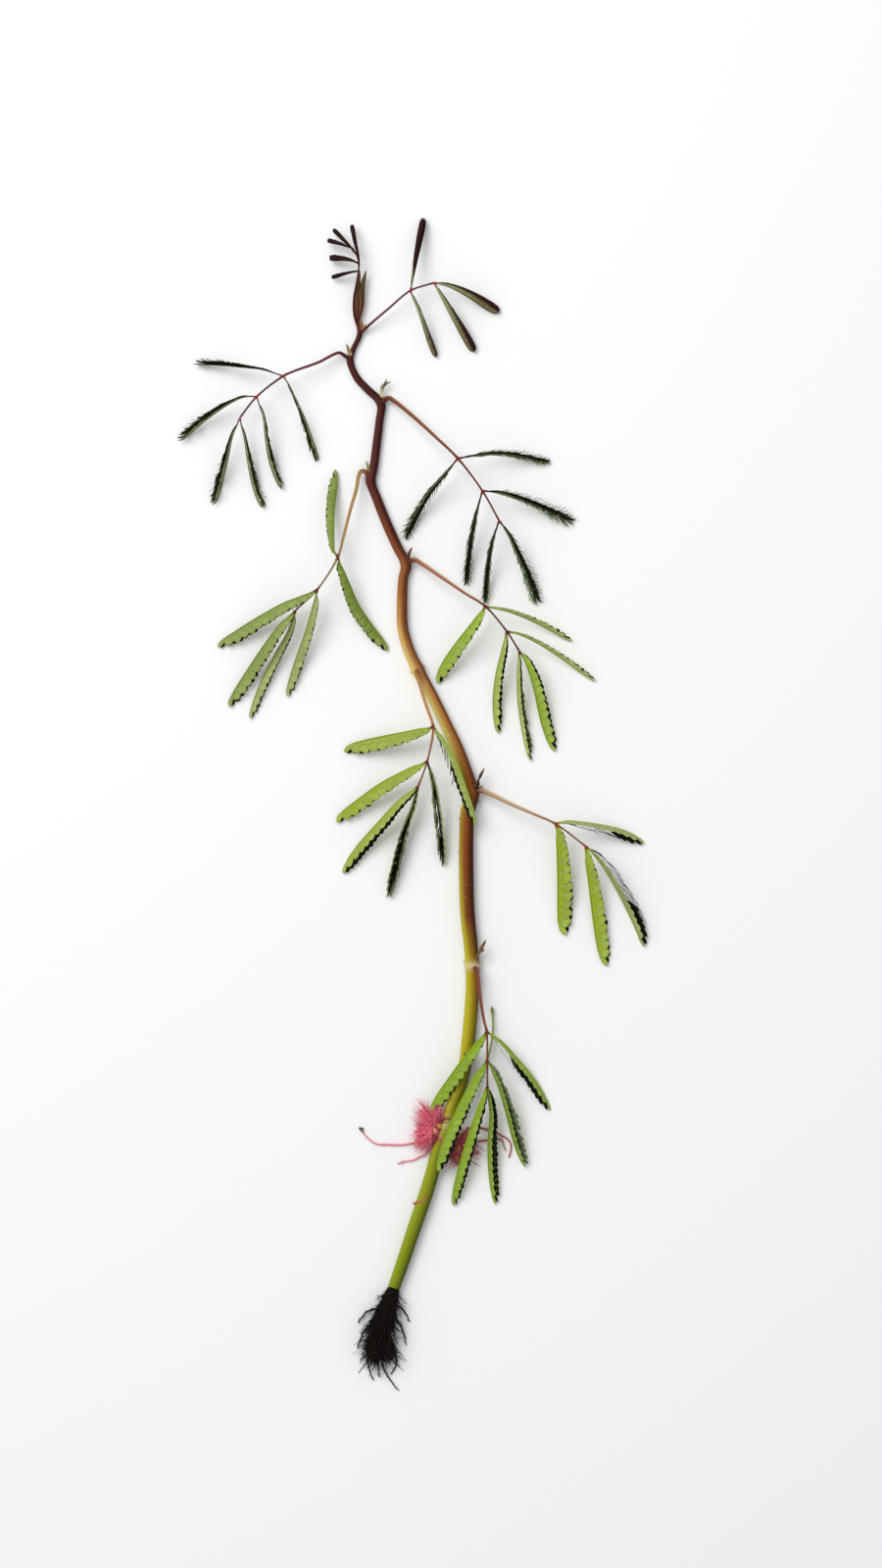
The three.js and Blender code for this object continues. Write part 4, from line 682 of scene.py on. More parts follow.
def stem_skin(given, spot, form, growth, tile):
    """Stem. Its colour runs from the green foot to the dark shoot along the object's Y, one run for the
    side in the light, one for the middle and one for the side in the shade, with streaks, scars and
    pale flecks. Form marks as on a stalk. The first growth mark is nearness to a scarred node."""
    side, near = form.parts()[0], growth.parts()[0]
    wander = spot.cloud(45.0, 3.0)
    grain = form.cloud(9.0, 5.0, (1.3, 1.3, 70.0))
    fine = spot.cloud(2600.0, 3.0)
    up_the_stem = {"Value": spot.parts()[1], "From Min": -0.15, "From Max": 0.15}
    place = (wander - 0.5) * 0.05 + spot.through("ShaderNodeMapRange", up_the_stem)
    sunny = place.ramp({
        0.0: "#7f8f10", 0.13: "#8c9414", 0.2: "#aca322", 0.33: "#aca414", 0.42: "#a8962a", 0.5: "#a08a24",
        0.56: "#c2ba58", 0.62: "#d8c474", 0.67: "#c8a458", 0.71: "#98602c", 0.76: "#7c4022",
        0.81: "#5c281a", 0.86: "#481a12", 0.94: "#481a12", 0.98: "#4c1c14", 1.0: "#6a3220"})
    middle = place.ramp({
        0.0: "#6c7608", 0.13: "#747a0c", 0.25: "#8e840c", 0.33: "#90700a", 0.38: "#66300a",
        0.46: "#7c3608", 0.52: "#84480e", 0.57: "#a06c30", 0.62: "#b07c44", 0.68: "#7c4620",
        0.78: "#45180f", 0.86: "#340e0a", 0.98: "#340e0c", 1.0: "#4a1c12"})
    shady = place.ramp({
        0.0: "#323c02", 0.13: "#3e4804", 0.25: "#544804", 0.34: "#441c02", 0.42: "#2e0c00",
        0.5: "#461c02", 0.58: "#6c3612", 0.66: "#54220c", 0.76: "#3a100a", 0.86: "#240808",
        0.93: "#240806", 0.98: "#240808", 1.0: "#34120c"})
    # how far the shaded side reaches round: most of the way on the middle joints
    reach = place.ramp({
        0.0: "#a4a4a4", 0.3: "#9c9c9c", 0.38: "#bcbcbc", 0.48: "#cacaca", 0.53: "#b8b8b8",
        0.57: "#b8b8b8", 0.63: "#b0b0b0", 0.7: "#929292", 0.8: "#707070"})
    edge = (grain - 0.5) * 0.7 + side - reach * 1.6
    colour = edge.ease(-1.7, -0.7).mix(shady, middle)
    colour = edge.ease(-0.75, 0.15).mix(colour, sunny)
    colour = grain.ease(0.55, 0.8, 0.0, 0.25).mix(colour, sunny)
    fleck = spot.cells(620.0).ease(0.15, 0.06) * wander.ease(0.45, 0.6) * place.ease(0.85, 0.7)
    colour = (fleck * 0.6).mix(colour, tint("#d9c9a0"))
    colour = spot.cells(130.0).ease(0.08, 0.04, 0.0, 0.8).mix(colour, tint("#4a1f12"))
    colour = (near * fine.ease(0.3, 0.6, 0.3, 0.8)).mix(colour, tint("#d9c9a0"))
    return colour, grain * 0.3 + 0.38, grain + fine * 0.4


def root_skin(given, spot, form, growth, tile):
    """Roots. The first two growth marks are the share along the root and its own tone."""
    along, tone = growth.parts()[:2]
    colour = along.ease(0.05, 0.5).mix(given["Heart"], given["Middle"])
    colour = along.ease(0.75, 1.0).mix(colour, given["Tip"])
    colour = tone.ease(0.25, 0.85, 0.0, 0.9).mix(colour, given["Other"])
    grain = spot.cloud(2500.0, 3.0)
    return colour.lightened(grain * 0.5 + 0.75), grain * 0.3 + 0.4, grain


LEAFLET = skin_group("leaflet_skin", leaflet_skin,
                     ("Back", "Pale back", "Inner face", "Margin", "Rachilla", "Foot", "Far"),
                     ("Change", "Overlap shade", "Freckles", "Margin highlight", "Dark tip"))
STALK = skin_group("stalk_skin", stalk_skin, ("Knee", "Petiole", "Rachis", "Sunlit", "Fork"), ("Streaks",))
STEM_SKIN = skin_group("stem_skin", stem_skin)
ROOT = skin_group("root_skin", root_skin, ("Heart", "Middle", "Tip", "Other"))


def skin(name, group, relief, depth, gloss, colours="", *numbers):
    """Material whose colour, roughness and relief come from a shader group. colours and numbers are its
    inputs in the order in which the group lists them, relief the bump's strength and depth its mm."""
    material = bpy.data.materials.new(name)
    material.use_nodes = True
    tree = material.node_tree
    surface = tree.nodes["Principled BSDF"]
    surface.inputs["Specular IOR Level"].default_value = gloss
    part = put(tree, "ShaderNodeGroup", node_tree=group)
    for kind, values in (("RGBA", map(tint, colours.split())), ("VALUE", numbers)):
        for value, socket in zip(values, [entry for entry in part.inputs if entry.type == kind]):
            socket.default_value = value
    bump = put(tree, "ShaderNodeBump", {"Strength": relief, "Distance": depth * MM,
                                        "Height": Wire(part.outputs["Height"])})
    tree.links.new(part.outputs["Colour"], surface.inputs["Base Color"])
    tree.links.new(part.outputs["Roughness"], surface.inputs["Roughness"])
    tree.links.new(bump.outputs[0], surface.inputs["Normal"])
    return material


def leaflets_look(name, depth, *look):
    """Soft matt leaflets, with the relief's depth and then the colours and numbers listed below."""
    return skin(name, LEAFLET, 0.5, depth, 0.1, *look)


def stalk_look(name, colours, streaks):
    """Fine-grained stalk, with the colours listed below and the strength of its sunlit streaks."""
    return skin(name, STALK, 0.4, 0.1, 0.18, colours, streaks)


# colours: back, pale back, inner face (near-black, partly painted shade), margin (on green leaflets a
# painted highlight), rachilla, foot, far end. Numbers: change towards the far end, painted overlap
# shade, freckles, painted margin highlight, dark tip
LEAF_SKINS = {
    "leaf_2": leaflets_look("young_leaflets", 0.1,
                            "#8e9a66 #a9ac7c #2a0f0c #4a2a22 #6a5a38 #7d1f2c #5c4428",
                            0.9, 0.4, 0.4, 0.5, 0.6),
    "leaf_3": leaflets_look("opening_leaflets", 0.1,
                            "#5e703e #b6be90 #211810 #6a6a2c #2c3a1c #7d1f2c #66642e",
                            0.5, 0.4, 0.45, 0.5, 0.3),
    "leaf_4": leaflets_look("feathery_leaflets", 0.1, "#56702c #a3b47c #161c0a #8c9c70 #1c240c #6a2018",
                            0.0, 0.4, 0.35, 0.9, 0.3),
    "leaf_5": leaflets_look("grown_leaflets", 0.12, "#6d8420 #9fab6c #131a06 #8f9f5c #6f8424 #5a1f1c",
                            0.0, 0.8, 0.2, 1.0),
    "leaf_6": leaflets_look("green_leaflets", 0.12, "#8fab20 #b0be72 #101606 #a5b47a #7f9628 #5a1f1c",
                            0.0, 0.85, 0.15, 1.0),
    "leaf_7": leaflets_look("bright_leaflets", 0.12, "#98ab2c #97a866 #101806 #b0bd86 #94a62a #6a2a1c",
                            0.0, 0.85, 0.12, 1.0),
    "leaf_8": leaflets_look("lime_leaflets", 0.12, "#98b018 #9ca67c #101605 #b0bd86 #96ac18 #8a3a1c",
                            0.0, 0.85, 0.1, 1.0),
    "leaf_9": leaflets_look("lower_leaflets", 0.12, "#88a71a #93a860 #0d1405 #a9b88a #86a01c #5a241c",
                            0.0, 0.85, 0.1, 1.0),
}
YOUNG_SKIN = leaflets_look("unopened_leaflets", 0.1, "#1c0a09 #3c1a14 #120606 #30120f #5a2c1c #4a201c",
                           0.0, 0.4, 0.3, 0.5, 0.2)
# colours: knee, petiole, rachis, sunlit side, fork
STALK_SKINS = {
    "leaf_2": stalk_look("maroon_stalk", "#4a1c20 #5c2430 #55283a #8a5660 #8a1c30", 0.6),
    "leaf_3": stalk_look("wine_stalk", "#3c1614 #5a2226 #4a2028 #7e4a50 #8a1c28", 0.5),
    "leaf_4": stalk_look("copper_stalk", "#4c2418 #743a26 #5e281c #a06a4a #7a1e16", 0.6),
    "leaf_5": stalk_look("tan_stalk", "#6a3420 #9a7440 #7c6a40 #bfa070 #5a1c1c", 0.6),
    "leaf_6": stalk_look("russet_stalk", "#5a2a18 #94583a #4c1c1a #c49a74 #5a1416", 0.6),
    "leaf_7": stalk_look("orange_stalk", "#7a4a2c #b07c4a #7c4a30 #c69c6c #6a2416", 0.5),
    "leaf_8": stalk_look("beige_stalk", "#4c2416 #b08a62 #7c4a30 #cdb190 #7c3014", 0.6),
    "leaf_9": stalk_look("purplish_stalk", "#5c2c20 #74382c #6a3424 #9a6450 #6a2414", 0.5),
}
STEM_MATERIAL = skin("stem_rind", STEM_SKIN, 0.4, 0.15, 0.14)
BUD_MATERIAL = stalk_look("bud_rind", "#5c6a2a #7f9440 #8a9a50 #b0ba80 #54583a", 0.5)
TIP_MATERIAL = skin("tip_scales", STALK, 0.5, 0.15, 0.2, "#5a2418 #542a18 #4c4022 #7c6c3a #2c1410", 0.75)
# relief, its depth, gloss, and colours: heart, middle, tip, other
PINK_MATERIAL = skin("pink_roots", ROOT, 0.3, 0.05, 0.25, "#dc947e #ee788c #da566e #8c2430")
RUSTY_MATERIAL = skin("rusty_roots", ROOT, 0.3, 0.05, 0.25, "#a0684c #b05258 #c05a66 #541c18")
BLACK_MATERIAL = skin("black_roots", ROOT, 0.4, 0.05, 0.12, "#070606 #0c0a09 #181210 #22160f")
BUDDING_MATERIAL = skin("budding_root", ROOT, 0.4, 0.08, 0.3, "#9c4a2c #a84a30 #7c2c20 #b87854")
CAP_MATERIAL = skin("root_cap", ROOT, 0.4, 0.08, 0.3, "#5a5a50 #38463e #2c3a34 #4a5a50")

# Stem, with its stubs and stipules


def bell(distance, reach):
    """1 at no distance, and falling off over the reach."""
    return np.exp(-((distance / reach) ** 2))


def rod(path, radius, sides, low=None, **section):
    """One round body along a path (n, 3), and the angles of its corners round it. With low given, the
    body is kept between that height and the highest."""
    grid, angle = tubes(path[None], np.asarray(radius)[None], sides, **section)
    if low is not None:
        grid[..., 2] = np.clip(grid[..., 2], low, HIGHEST)
    return grid, angle


def marked(grid, angle, share, *growth):
    """A rod with its form marks (cosine and sine of the angle, share along it) and growth marks."""
    return grid, marks_of(grid, np.cos(angle), np.sin(angle), share), marks_of(grid, *growth)


def stem_bodies(count=700):
    """Stem: its radius is half the width between the listed points, wider by a bell at each node,
    with low ribs; its underside is cut level where it lies on the surface."""
    rows = np.array([row[:4] for row in STEM])
    underside = rows[:, 3] + rows[:, 2] / 2 * 0.924
    path = smooth_path(np.column_stack([rows[:, :2], underside]), count)
    order = np.argsort(rows[:, 1])
    width = np.interp(path[:, 1], rows[order, 1], rows[order, 2])
    nodes = np.array([[row[0], row[1]] for row in STEM if len(row) > 4])
    gaps = np.linalg.norm(path[:, None, :2] - nodes[None], axis=2)
    share = np.linspace(0, 1, count)
    radius = width / 2 * (1 + 0.17 * bell(gaps.min(1), 1.7)) * (1 - 0.9 * rise(share, 0.996, 0.004))
    collar = (bell(gaps[:, 1], 1.3) * 0.9 + bell(gaps[:, 0], 2.2) * 0.5)[None, :, None]
    grid, angle = rod(path, radius, 40, 0, ribs=0.018, rib_count=7)
    bodies = [marked(grid, angle, share[None, :, None], collar, 0, 0)]
    for route in NUBS:
        path = smooth_path(route, 8)
        grid, angle = rod(path, np.linspace(0.45, 0.1, 8), 10)
        bodies.append((grid, marks_of(grid, 0.2, np.sin(angle), 0.5), marks_of(grid, 0.2, 0, 0)))
    return bodies


def scale_body(width, route, count=14):
    """Pointed scale: along its route the half width runs through seven listed shares, widest at a
    third and drawn out to a point; the section is a flattened oval."""
    path = smooth_path(route, count)
    share = np.linspace(0, 1, count)
    full = np.interp(share, [0, 0.12, 0.3, 0.5, 0.7, 0.88, 1], [0.7, 1.05, 1.2, 1.1, 0.85, 0.55, 0.14])
    grid, angle = rod(path, width / 2 * full, 10, RESTING, flat=0.55)
    return marked(grid, angle, share[None, :, None], 0, 0.5, 0)


def stub_body(width, route, rough=1.0, count=40):
    """Dried stub: a rod whose radius wavers with two sines along it and rounds off at a blunt end."""
    path = smooth_path(route, count)
    share = np.linspace(0, 1, count)
    radius = width / 2 * (1 + rough * (0.18 * np.sin(19 * share) + 0.12 * np.sin(37 * share + 1)))
    radius = radius * np.sqrt(np.clip((1 - share) / 0.1, 0.02, 1))
    grid, angle = rod(path, radius, 12, ribs=0.06)
    share = share[None, :, None]
    return marked(grid, angle, share, rise(share, 0.8, 0.2), 0.5, 0)


add_piece("stem_and_nubs", stem_bodies(), STEM_MATERIAL, "stem", "stem")
for number, (width, route, foot, tip) in enumerate(STUBS):
    finish = skin(f"stub_{number}", STALK, 0.6, 0.15, 0.2, f"{foot} {foot} {foot} {tip} {tip}", 0.35)
    add_piece(f"stub_{number}", [stub_body(width, route)], finish, "stem", "stem")
for number, (width, route, foot, tip) in enumerate(STIPULES):
    finish = stalk_look(f"stipule_{number}", f"{foot} {foot} {tip} {tip} {foot}", 0.3)
    add_piece(f"stipule_{number}", [scale_body(width, route)], finish, "stem", "stem")

# Leaves


def stalk_body(base, forks, width, count=160):
    """Petiole and rachis: the width tapers to 0.58 mm over the first 0.72 of the length, with the power
    1.3 of the share of that, with a thick knee over the first millimetres and a bell at each fork."""
    path, length = measured_path([*base, *forks], count)
    share = np.linspace(0, 1, count)
    gaps = np.linalg.norm(path[:, None] - np.array(forks, float)[None], axis=2).min(1)
    knee, near = bell(share * length, 3.6), bell(gaps, 1.2)
    radius = between((width, 0.58), rise(share, 0, 0.72) ** 1.3) / 2 * (1 + 0.25 * near + 0.35 * knee)
    radius[-1] *= 0.3
    grid, angle = rod(path, radius, 16, ribs=0.03, rib_count=4)
    knee, near, share = (part[None, :, None] for part in (knee, near, share))
    return marked(grid, angle, share, 0.9 * rise(1.2 * near**2, 0, 1), 0.5, rise(1.5 * knee, 0, 1))


def pinna_frame(spec, profile, fork, count=500):
    """Rib line and section of a pinna, as in the solid: a V of the stated width from above, whose
    middle lies over the route, turned by roll round the pinna and lifted clear of the surface."""
    path, length = measured_path([fork, *spec.route], count)
    along, left, up = ways(path)
    share = rise(np.linspace(0, length, count), 1.4, length - 1.4)
    across = spec.width * np.interp(share, PLACES, profile)
    roll, opening = np.radians(spec.roll), np.radians(spec.spread)
    ratio = 2 * np.tan(opening)
    level, upright = abs(np.cos(roll)), abs(np.sin(roll))
    full = across / max(level + 0.5 * ratio * upright, ratio * upright)
    depth, half = np.maximum(full, 0.5), np.maximum(0.5 * ratio * full, 0.25)

    def middle(lean, over):
        return ((lean + over + np.minimum(0, lean - over)) / 2)[:, None]

    outward = np.cos(roll) * left + np.sin(roll) * up
    rib = path - np.sign(np.cos(roll)) * middle(level * depth, upright * half) * left
    rib = rib - np.sign(np.sin(roll)) * middle(upright * depth, level * half) * up
    side = half[:, None] * np.cross(along, outward)
    edges = [rib + depth[:, None] * outward + sign * side for sign in (-1, 1)]
    lowest = np.min([line[:, 2] for line in (rib, *edges)], axis=0)
    rib[:, 2] += np.maximum(0, LEAST_HEIGHT - lowest)
    return SimpleNamespace(path=path, rib=rib, along=along, left=left, up=up, run=length,
                           reach=np.hypot(depth, half), places=np.linspace(0, 1, count))


def at(body, name, share):
    """A line of the pinna's frame at shares of its length."""
    values = getattr(body, name)
    return np.stack([np.interp(share, body.places, values[:, axis]) for axis in range(3)], -1)


def row_plane(spec, body, habit, share):
    """The row's sign, the rib under it, the way its plane leads away from the rib, and the way its backs
    face."""
    sign = facing(spec) * habit.side
    angle = np.radians(spec.roll + sign * spec.spread + habit.tilt)
    along, left, up, rib = (at(body, name, share) for name in ("along", "left", "up", "rib"))
    away = np.cos(angle) * left + np.sin(angle) * up
    return sign, rib, away, sign * np.cross(along, away)


def facing(spec):
    """The row with its back up is +1 where the roll is up to a quarter turn, and -1 otherwise."""
    return 1 if spec.roll <= 90 else -1


def leaflet_row(spec, body, habit):
    """One row of leaflets. Each blade's axis leaves the rib at its foot and reaches the pinna's edge at
    its tip, bowed on the way. Its section is a thin lens, cupped towards the tip, and its outline is
    narrow at the foot and ends in half a squarish oval, drawn forward on its inner side. Its outer
    part is twisted round its axis, so that its forward margin lies over the next one like a tile."""
    first, flat = max(habit.first, habit.start), habit.turn[0] < EDGE_ON
    count = max(1, int(round(body.run * (habit.end - first) / habit.pitch)))
    tips = first + LEAD + (habit.end - LEAD - first) * np.linspace(0, 1, count) ** CROWDING
    if habit.side < 0:
        tips = tips - 0.4 * habit.pitch / body.run
    tips = np.clip(tips + chance.normal(0, habit.uneven * habit.pitch / body.run, count), 0.04, 1)
    depth = np.interp(tips, body.places, body.reach)
    reach = depth * between(habit.reach, tips) * (1 + habit.uneven * chance.normal(0, 1, count))
    length = habit.longest * (0.45 + 0.55 * rise(tips, 0, 0.3)) * (1 - 0.25 * rise(tips, 0.7, 1))
    length = length * (1 + habit.uneven * chance.normal(0, 0.7, count))
    lean = np.arcsin(np.clip(reach / length, 0.14, 0.82))
    feet = np.maximum(tips - length * np.cos(lean) / body.run, 0.4 * habit.first)
    u = np.array([0, 0.1, 0.28, 0.46, 0.62, 0.74, 0.84, 0.91, 0.96, 0.99, 1])
    spots = feet[:, None] + (tips - feet)[:, None] * u
    bow = habit.bow
    out = reach[:, None] * (u ** (1 / bow) if bow < 1 else bow * u + (1 - bow) * u**2)
    sign, rib, away, outer = row_plane(spec, body, habit, spots)
    axis = rib + out[..., None] * away
    heading = unit(np.gradient(axis, u, axis=1))
    forward = unit(np.cross(heading, sign * outer))
    turn = np.radians(between(habit.turn, tips) + chance.normal(0, 50 * habit.uneven, count))
    onset = 0.12 * rise(u, 0, 0.3) + 0.88 * rise(u, 0.6, 0.3) if flat else rise(u, 0, 0.2)
    turn = (turn[:, None] * onset)[..., None]
    broad = np.cos(turn) * forward + np.sin(turn) * outer
    normal = np.cos(turn) * outer - np.sin(turn) * forward
    size = np.minimum(habit.blade / 2, 0.42 * depth + 0.2) if flat else np.full(count, habit.blade / 2)
    rounded = (1 - rise(u, BLUNT, ROUNDING) ** 2.4) ** 0.42
    outline = np.maximum(0.02, np.minimum(1, 0.6 + 0.4 * (u / 0.3) ** 0.8) * rounded)
    half = (size[:, None] * outline)[..., None]
    v = np.array([-1, -0.78, 0.78, 1, 0.78, -0.78])
    face = np.array([0, 1, 1, 0, -1, -1])
    swell = np.sqrt(outline) * (0.1 + 0.9 * rise(u, 0.5, 0.35))
    stand = face * habit.thick / 2 * swell[None, :, None] - 0.06 * u[None, :, None] * half * v**2
    if sign < 0:
        v, face, stand = v[::-1], face[::-1], stand[..., ::-1]
    grid = (axis[:, :, None] + (half * v)[..., None] * broad[:, :, None]
            + stand[..., None] * normal[:, :, None])
    if flat:
        oblique = 0.16 * rise(u, 0.4, 0.4)[None, :, None] * half * v
        grid = grid + oblique[..., None] * heading[:, :, None]
        # no blade stands past the rib: what would is laid back on it
        beyond = -0.12 - np.sum((grid - rib[:, :, None]) * away[:, :, None], -1, keepdims=True)
        grid = grid + np.maximum(0, beyond) * away[:, :, None]
    grid[..., 2] = np.clip(grid[..., 2], RESTING, HIGHEST)
    tone = chance.random(count)[:, None, None]
    centre = (BLUNT - habit.pitch * np.cos(lean) / length)[:, None, None]
    beside = (habit.pitch * np.sin(lean) / size)[:, None, None]
    # a dark row takes the inner faces' near-black on every face: painted shade on hind leaflets, on young
    # leaves also their own dark
    side = 0 * face if habit.dark else (face + 1) / 2
    return (grid, marks_of(grid, u[None, :, None], v, side),
            marks_of(grid, spots[..., None], tone, between(habit.pale, tips[:, None, None])),
            marks_of(grid, centre, beside, 0))


def closed_part(spec, body, habit, count=150):
    """Where the blades of a row lie close together: a thin lens that runs along the rib, out to a share
    of the row's depth, a hair above the blades near the rib and under them at its outer edge."""
    start = habit.first * (0.9 if habit.first > 0.1 else 0.5)
    share = np.linspace(max(0.05, start), 0.96 * habit.end, count)
    sign, rib, away, outer = row_plane(spec, body, habit, share)
    ahead = np.minimum(1, share + 2.6 / body.run)
    reach = np.interp(ahead, body.places, body.reach) * np.clip((share - share[0]) / 0.08, 0.1, 1)
    reach = reach * between(habit.reach, share) * habit.smooth
    reach = reach * (1 + 0.06 * np.sin(2 * np.pi * share * body.run / habit.pitch))
    reach = reach * np.clip((1 - share) / 0.12, 0.15, 1) ** 0.5
    out = np.array([0.02, 0.35, 0.7, 0.9, 1, 0.9, 0.5, 0.1])[::-sign]
    lift = np.array([0.02, 0.06, 0.04, 0.0, -0.03, -0.05, -0.05, -0.03])[::-sign]
    grid = (rib[:, None] + (reach[:, None] * out)[..., None] * away[:, None]
            + lift[:, None] * outer[:, None])[None]
    grid[..., 2] = np.clip(grid[..., 2], RESTING, HIGHEST)
    # number of the blade that a point belongs to, from the share at which that blade's tip lies; it places
    # the painted shade along the seams between blades
    first, end = max(habit.first, habit.start), habit.end - LEAD
    deep = np.interp(share, body.places, body.reach)[:, None]
    blade = np.sqrt(np.maximum(habit.longest**2 - deep**2, 1))
    ahead = (1 - habit.smooth * out) * blade / body.run
    blades = max(1, int(round(body.run * (habit.end - first) / habit.pitch)))
    number = np.maximum(share[:, None] + ahead - first - LEAD, 0) / (end - first)
    number = 1.5 + (blades - 1) * number ** (1 / CROWDING)
    share = share[None, :, None]
    return (grid, marks_of(grid, habit.smooth * out, 0.4, 1),
            marks_of(grid, share, 0.15, between(habit.pale, share)), marks_of(grid, 1, 2, number[None]))


def rachilla(body, thick, dark, count=120):
    """Fine stalk of a pinna, from the fork along the rib to the tip, swollen and red over its first bit.
    With dark at 1 it takes the inner faces' near-black: painted shade at the bottom of an upturned pinna.
    """
    share = np.linspace(0, 0.985, count)
    path, rib = at(body, "path", share), at(body, "rib", share)
    blend = rise(share, 0, 0.12)[:, None]
    path = path + (rib - path) * blend * blend * (3 - 2 * blend)
    radius = 0.12 + 0.08 * (1 - share) + thick * 0.24 * bell(share * body.run, 1.7)
    radius[0] *= 0.4
    radius[-1] = 0.04
    grid, angle = rod(path, radius, 8, RESTING)
    return (grid, marks_of(grid, 0.5, np.cos(angle), 2.0),
            marks_of(grid, share[None, :, None], 0.5, dark))


def pinna_bodies(spec, profile, fork, thick=1.0):
    """All closed bodies of one pinna."""
    body = pinna_frame(spec, profile, fork)
    return [*(leaflet_row(spec, body, habit) for habit in spec.rows),
            *(closed_part(spec, body, habit) for habit in spec.rows if habit.smooth),
            rachilla(body, thick, float(60 < spec.roll < 110))]


def club_body(width, fork, route, light=(0, 0, 1), count=60):
    """A club of leaflets pressed together: an oval rod that swells towards a blunt, slightly notched
    end, with low ribs where the leaflets meet. One side is dark from the share light[0] on, all of it
    from light[1] on. light[2] is 1 for the left side and -1 for the right."""
    path = smooth_path([fork, *route], count)
    share = np.linspace(0, 1, count)
    radius = width / 2 * np.interp(share, PLACES, CLUB) * np.clip((1 - share) / 0.03, 0.05, 1) ** 0.5
    grid, angle = rod(path, radius, 24, ribs=0.09, rib_count=6, flat=0.85)
    here = share[None, :, None]
    notch = 0.35 * (np.cos(6 * angle) - 1) * rise(here, 0.9, 0.1)
    grid = grid + notch[..., None] * ways(path)[0][None, :, None]
    grid[..., 2] = np.clip(grid[..., 2], RESTING, HIGHEST)
    dark_from, all_dark, dark_side = light
    line = 1.2 - 2.7 * rise(here, dark_from, max(all_dark - dark_from, 0.01)) if all_dark > 0 else 3.0
    face = 0.42 + 0.32 * (line - dark_side * np.cos(angle))
    face = face + 0.03 * np.sin(140 * here + 5 * np.cos(angle))
    return (grid, marks_of(grid, 0.2 + 0.3 * here, 0.3 + 0.6 * np.cos(6 * angle), rise(face, 0, 1)),
            marks_of(grid, here, 0.5, np.clip(1 - 1.6 * here, 0, 1)))


for leaf_name, leaf in LEAVES.items():
    add_piece(f"{leaf_name}_petiole", [stalk_body(leaf.base, leaf.forks, leaf.width)],
              STALK_SKINS[leaf_name], "stalk", f"{leaf_name}_stalk")
    for letter, spec in leaf.pinnae.items():
        fork = leaf.forks[spec.fork]
        bodies = pinna_bodies(spec, leaf.profile, fork, leaf.foot)
        if leaf_name == "leaf_2":
            bodies.append(club_body(0.86 * spec.width, fork, spec.route, DARK_SIDES[letter]))
        add_piece(f"{leaf_name}_leaflets_{letter}", bodies, LEAF_SKINS[leaf_name], leaf.slot,
                  f"{leaf_name}_pinna_{letter}")

# Shoot tip and bud stalk


def young_leaf():
    """The unopened leaf: a curved stalk, five clubs, and short leaflets that lie close along them."""
    path = smooth_path(YOUNG_STALK, 60)
    grid, angle = rod(path, np.linspace(0.42, 0.24, 60), 12)
    bodies = [(grid, marks_of(grid, 0.5, np.cos(angle), 2.0), marks_of(grid, 0, 0.5, 0))]
    for width, fork, route in YOUNG_CLUBS:
        bodies.append(club_body(0.92 * width, fork, route))
        rows = [row(side, pitch=0.8, blade=0.6, longest=2.6, thick=0.1, uneven=0.1, turn=(2, 5), end=0.97,
                    reach=(0.8, 0.85), pale=(0.5, 0)) for side in (1, -1)]
        bodies += pinna_bodies(pinna(0, 0.95 * width, 90, 32, rows, *route), CLUB, fork, 0.4)
    return bodies


def bud_body(count=120):
    """Thin stalk that ends in an oval knob with a dark blunt top."""
    path, length = measured_path(BUD_ROUTE, count)
    share = np.linspace(0, 1, count)
    radius = 0.42 - 0.12 * share + 0.2 * bell((1 - share) * length - 1.2, 1.1)
    grid, angle = rod(path, radius * np.where(share > 0.99, 0.5, 1), 14)
    share = share[None, :, None]
    return marked(grid, angle, share, rise(share, 0.93, 0.07), 0.5, 0)


add_piece("tip_sheath", [scale_body(width, route, 24) for width, route in TIP_SCALES], TIP_MATERIAL,
          "shoot_tip", "tip_bud")
add_piece("young_leaf_clubs", young_leaf(), YOUNG_SKIN, "leaf_dark", "young_leaf")
add_piece("bud_stalk_and_knob", [bud_body()], BUD_MATERIAL, "bud", "bud_stalk")

# Roots


def hairs(feet, heads, length, bend, radius, rings=7, sides=4, wave=0.25, tone=None):
    """Fine roots: each goes from its foot along its heading, bent by a square of its share of the way
    and waved by a sine, and thins to a third at its tip."""
    t = np.linspace(0, 1, rings)[None, :, None]
    count = len(feet)
    waver = unit(chance.normal(0, 1, (count, 1, 3))) * wave
    phase = chance.random((count, 1, 1)) * 6.28
    paths = (feet[:, None] + unit(heads)[:, None] * (length[:, None, None] * t) + bend[:, None] * t**2
             + waver * np.sin(phase + 5 * t) * t)
    paths[..., 2] = np.clip(paths[..., 2], 0.12, HIGHEST - 0.2)
    radii = radius * (1 - 0.65 * t[..., 0] ** 2) * (0.55 + 0.9 * chance.random((count, 1)) ** 2)
    grid, angle = tubes(paths, radii, sides)
    tone = (chance.random(count) if tone is None else tone)[:, None, None]
    return marked(grid, angle, t, t, tone, 0)


def heart_body(heart, half, rings=24, sides=24):
    """Lumpy oval heart of a tuft: an ellipsoid whose radius wavers with two sines of its angles."""
    turn = np.linspace(0.02, np.pi - 0.02, rings)[:, None]
    angle = 2 * np.pi * np.arange(sides) / sides
    lump = 1 + 0.08 * np.sin(5 * turn + 3 * angle) + 0.05 * np.sin(9 * turn - 4 * angle)
    ball = (-np.sin(turn) * np.cos(angle), -np.cos(turn), np.sin(turn) * np.sin(angle))
    grid = np.stack([part * reach * lump for part, reach in zip(ball, half)], -1) + np.array(heart)
    grid = grid[None][:, :, ::-1]
    grid[..., 2] = np.maximum(grid[..., 2], RESTING)
    return grid, marks_of(grid, 0, 0, 0), marks_of(grid, 0, 0.3, 0)


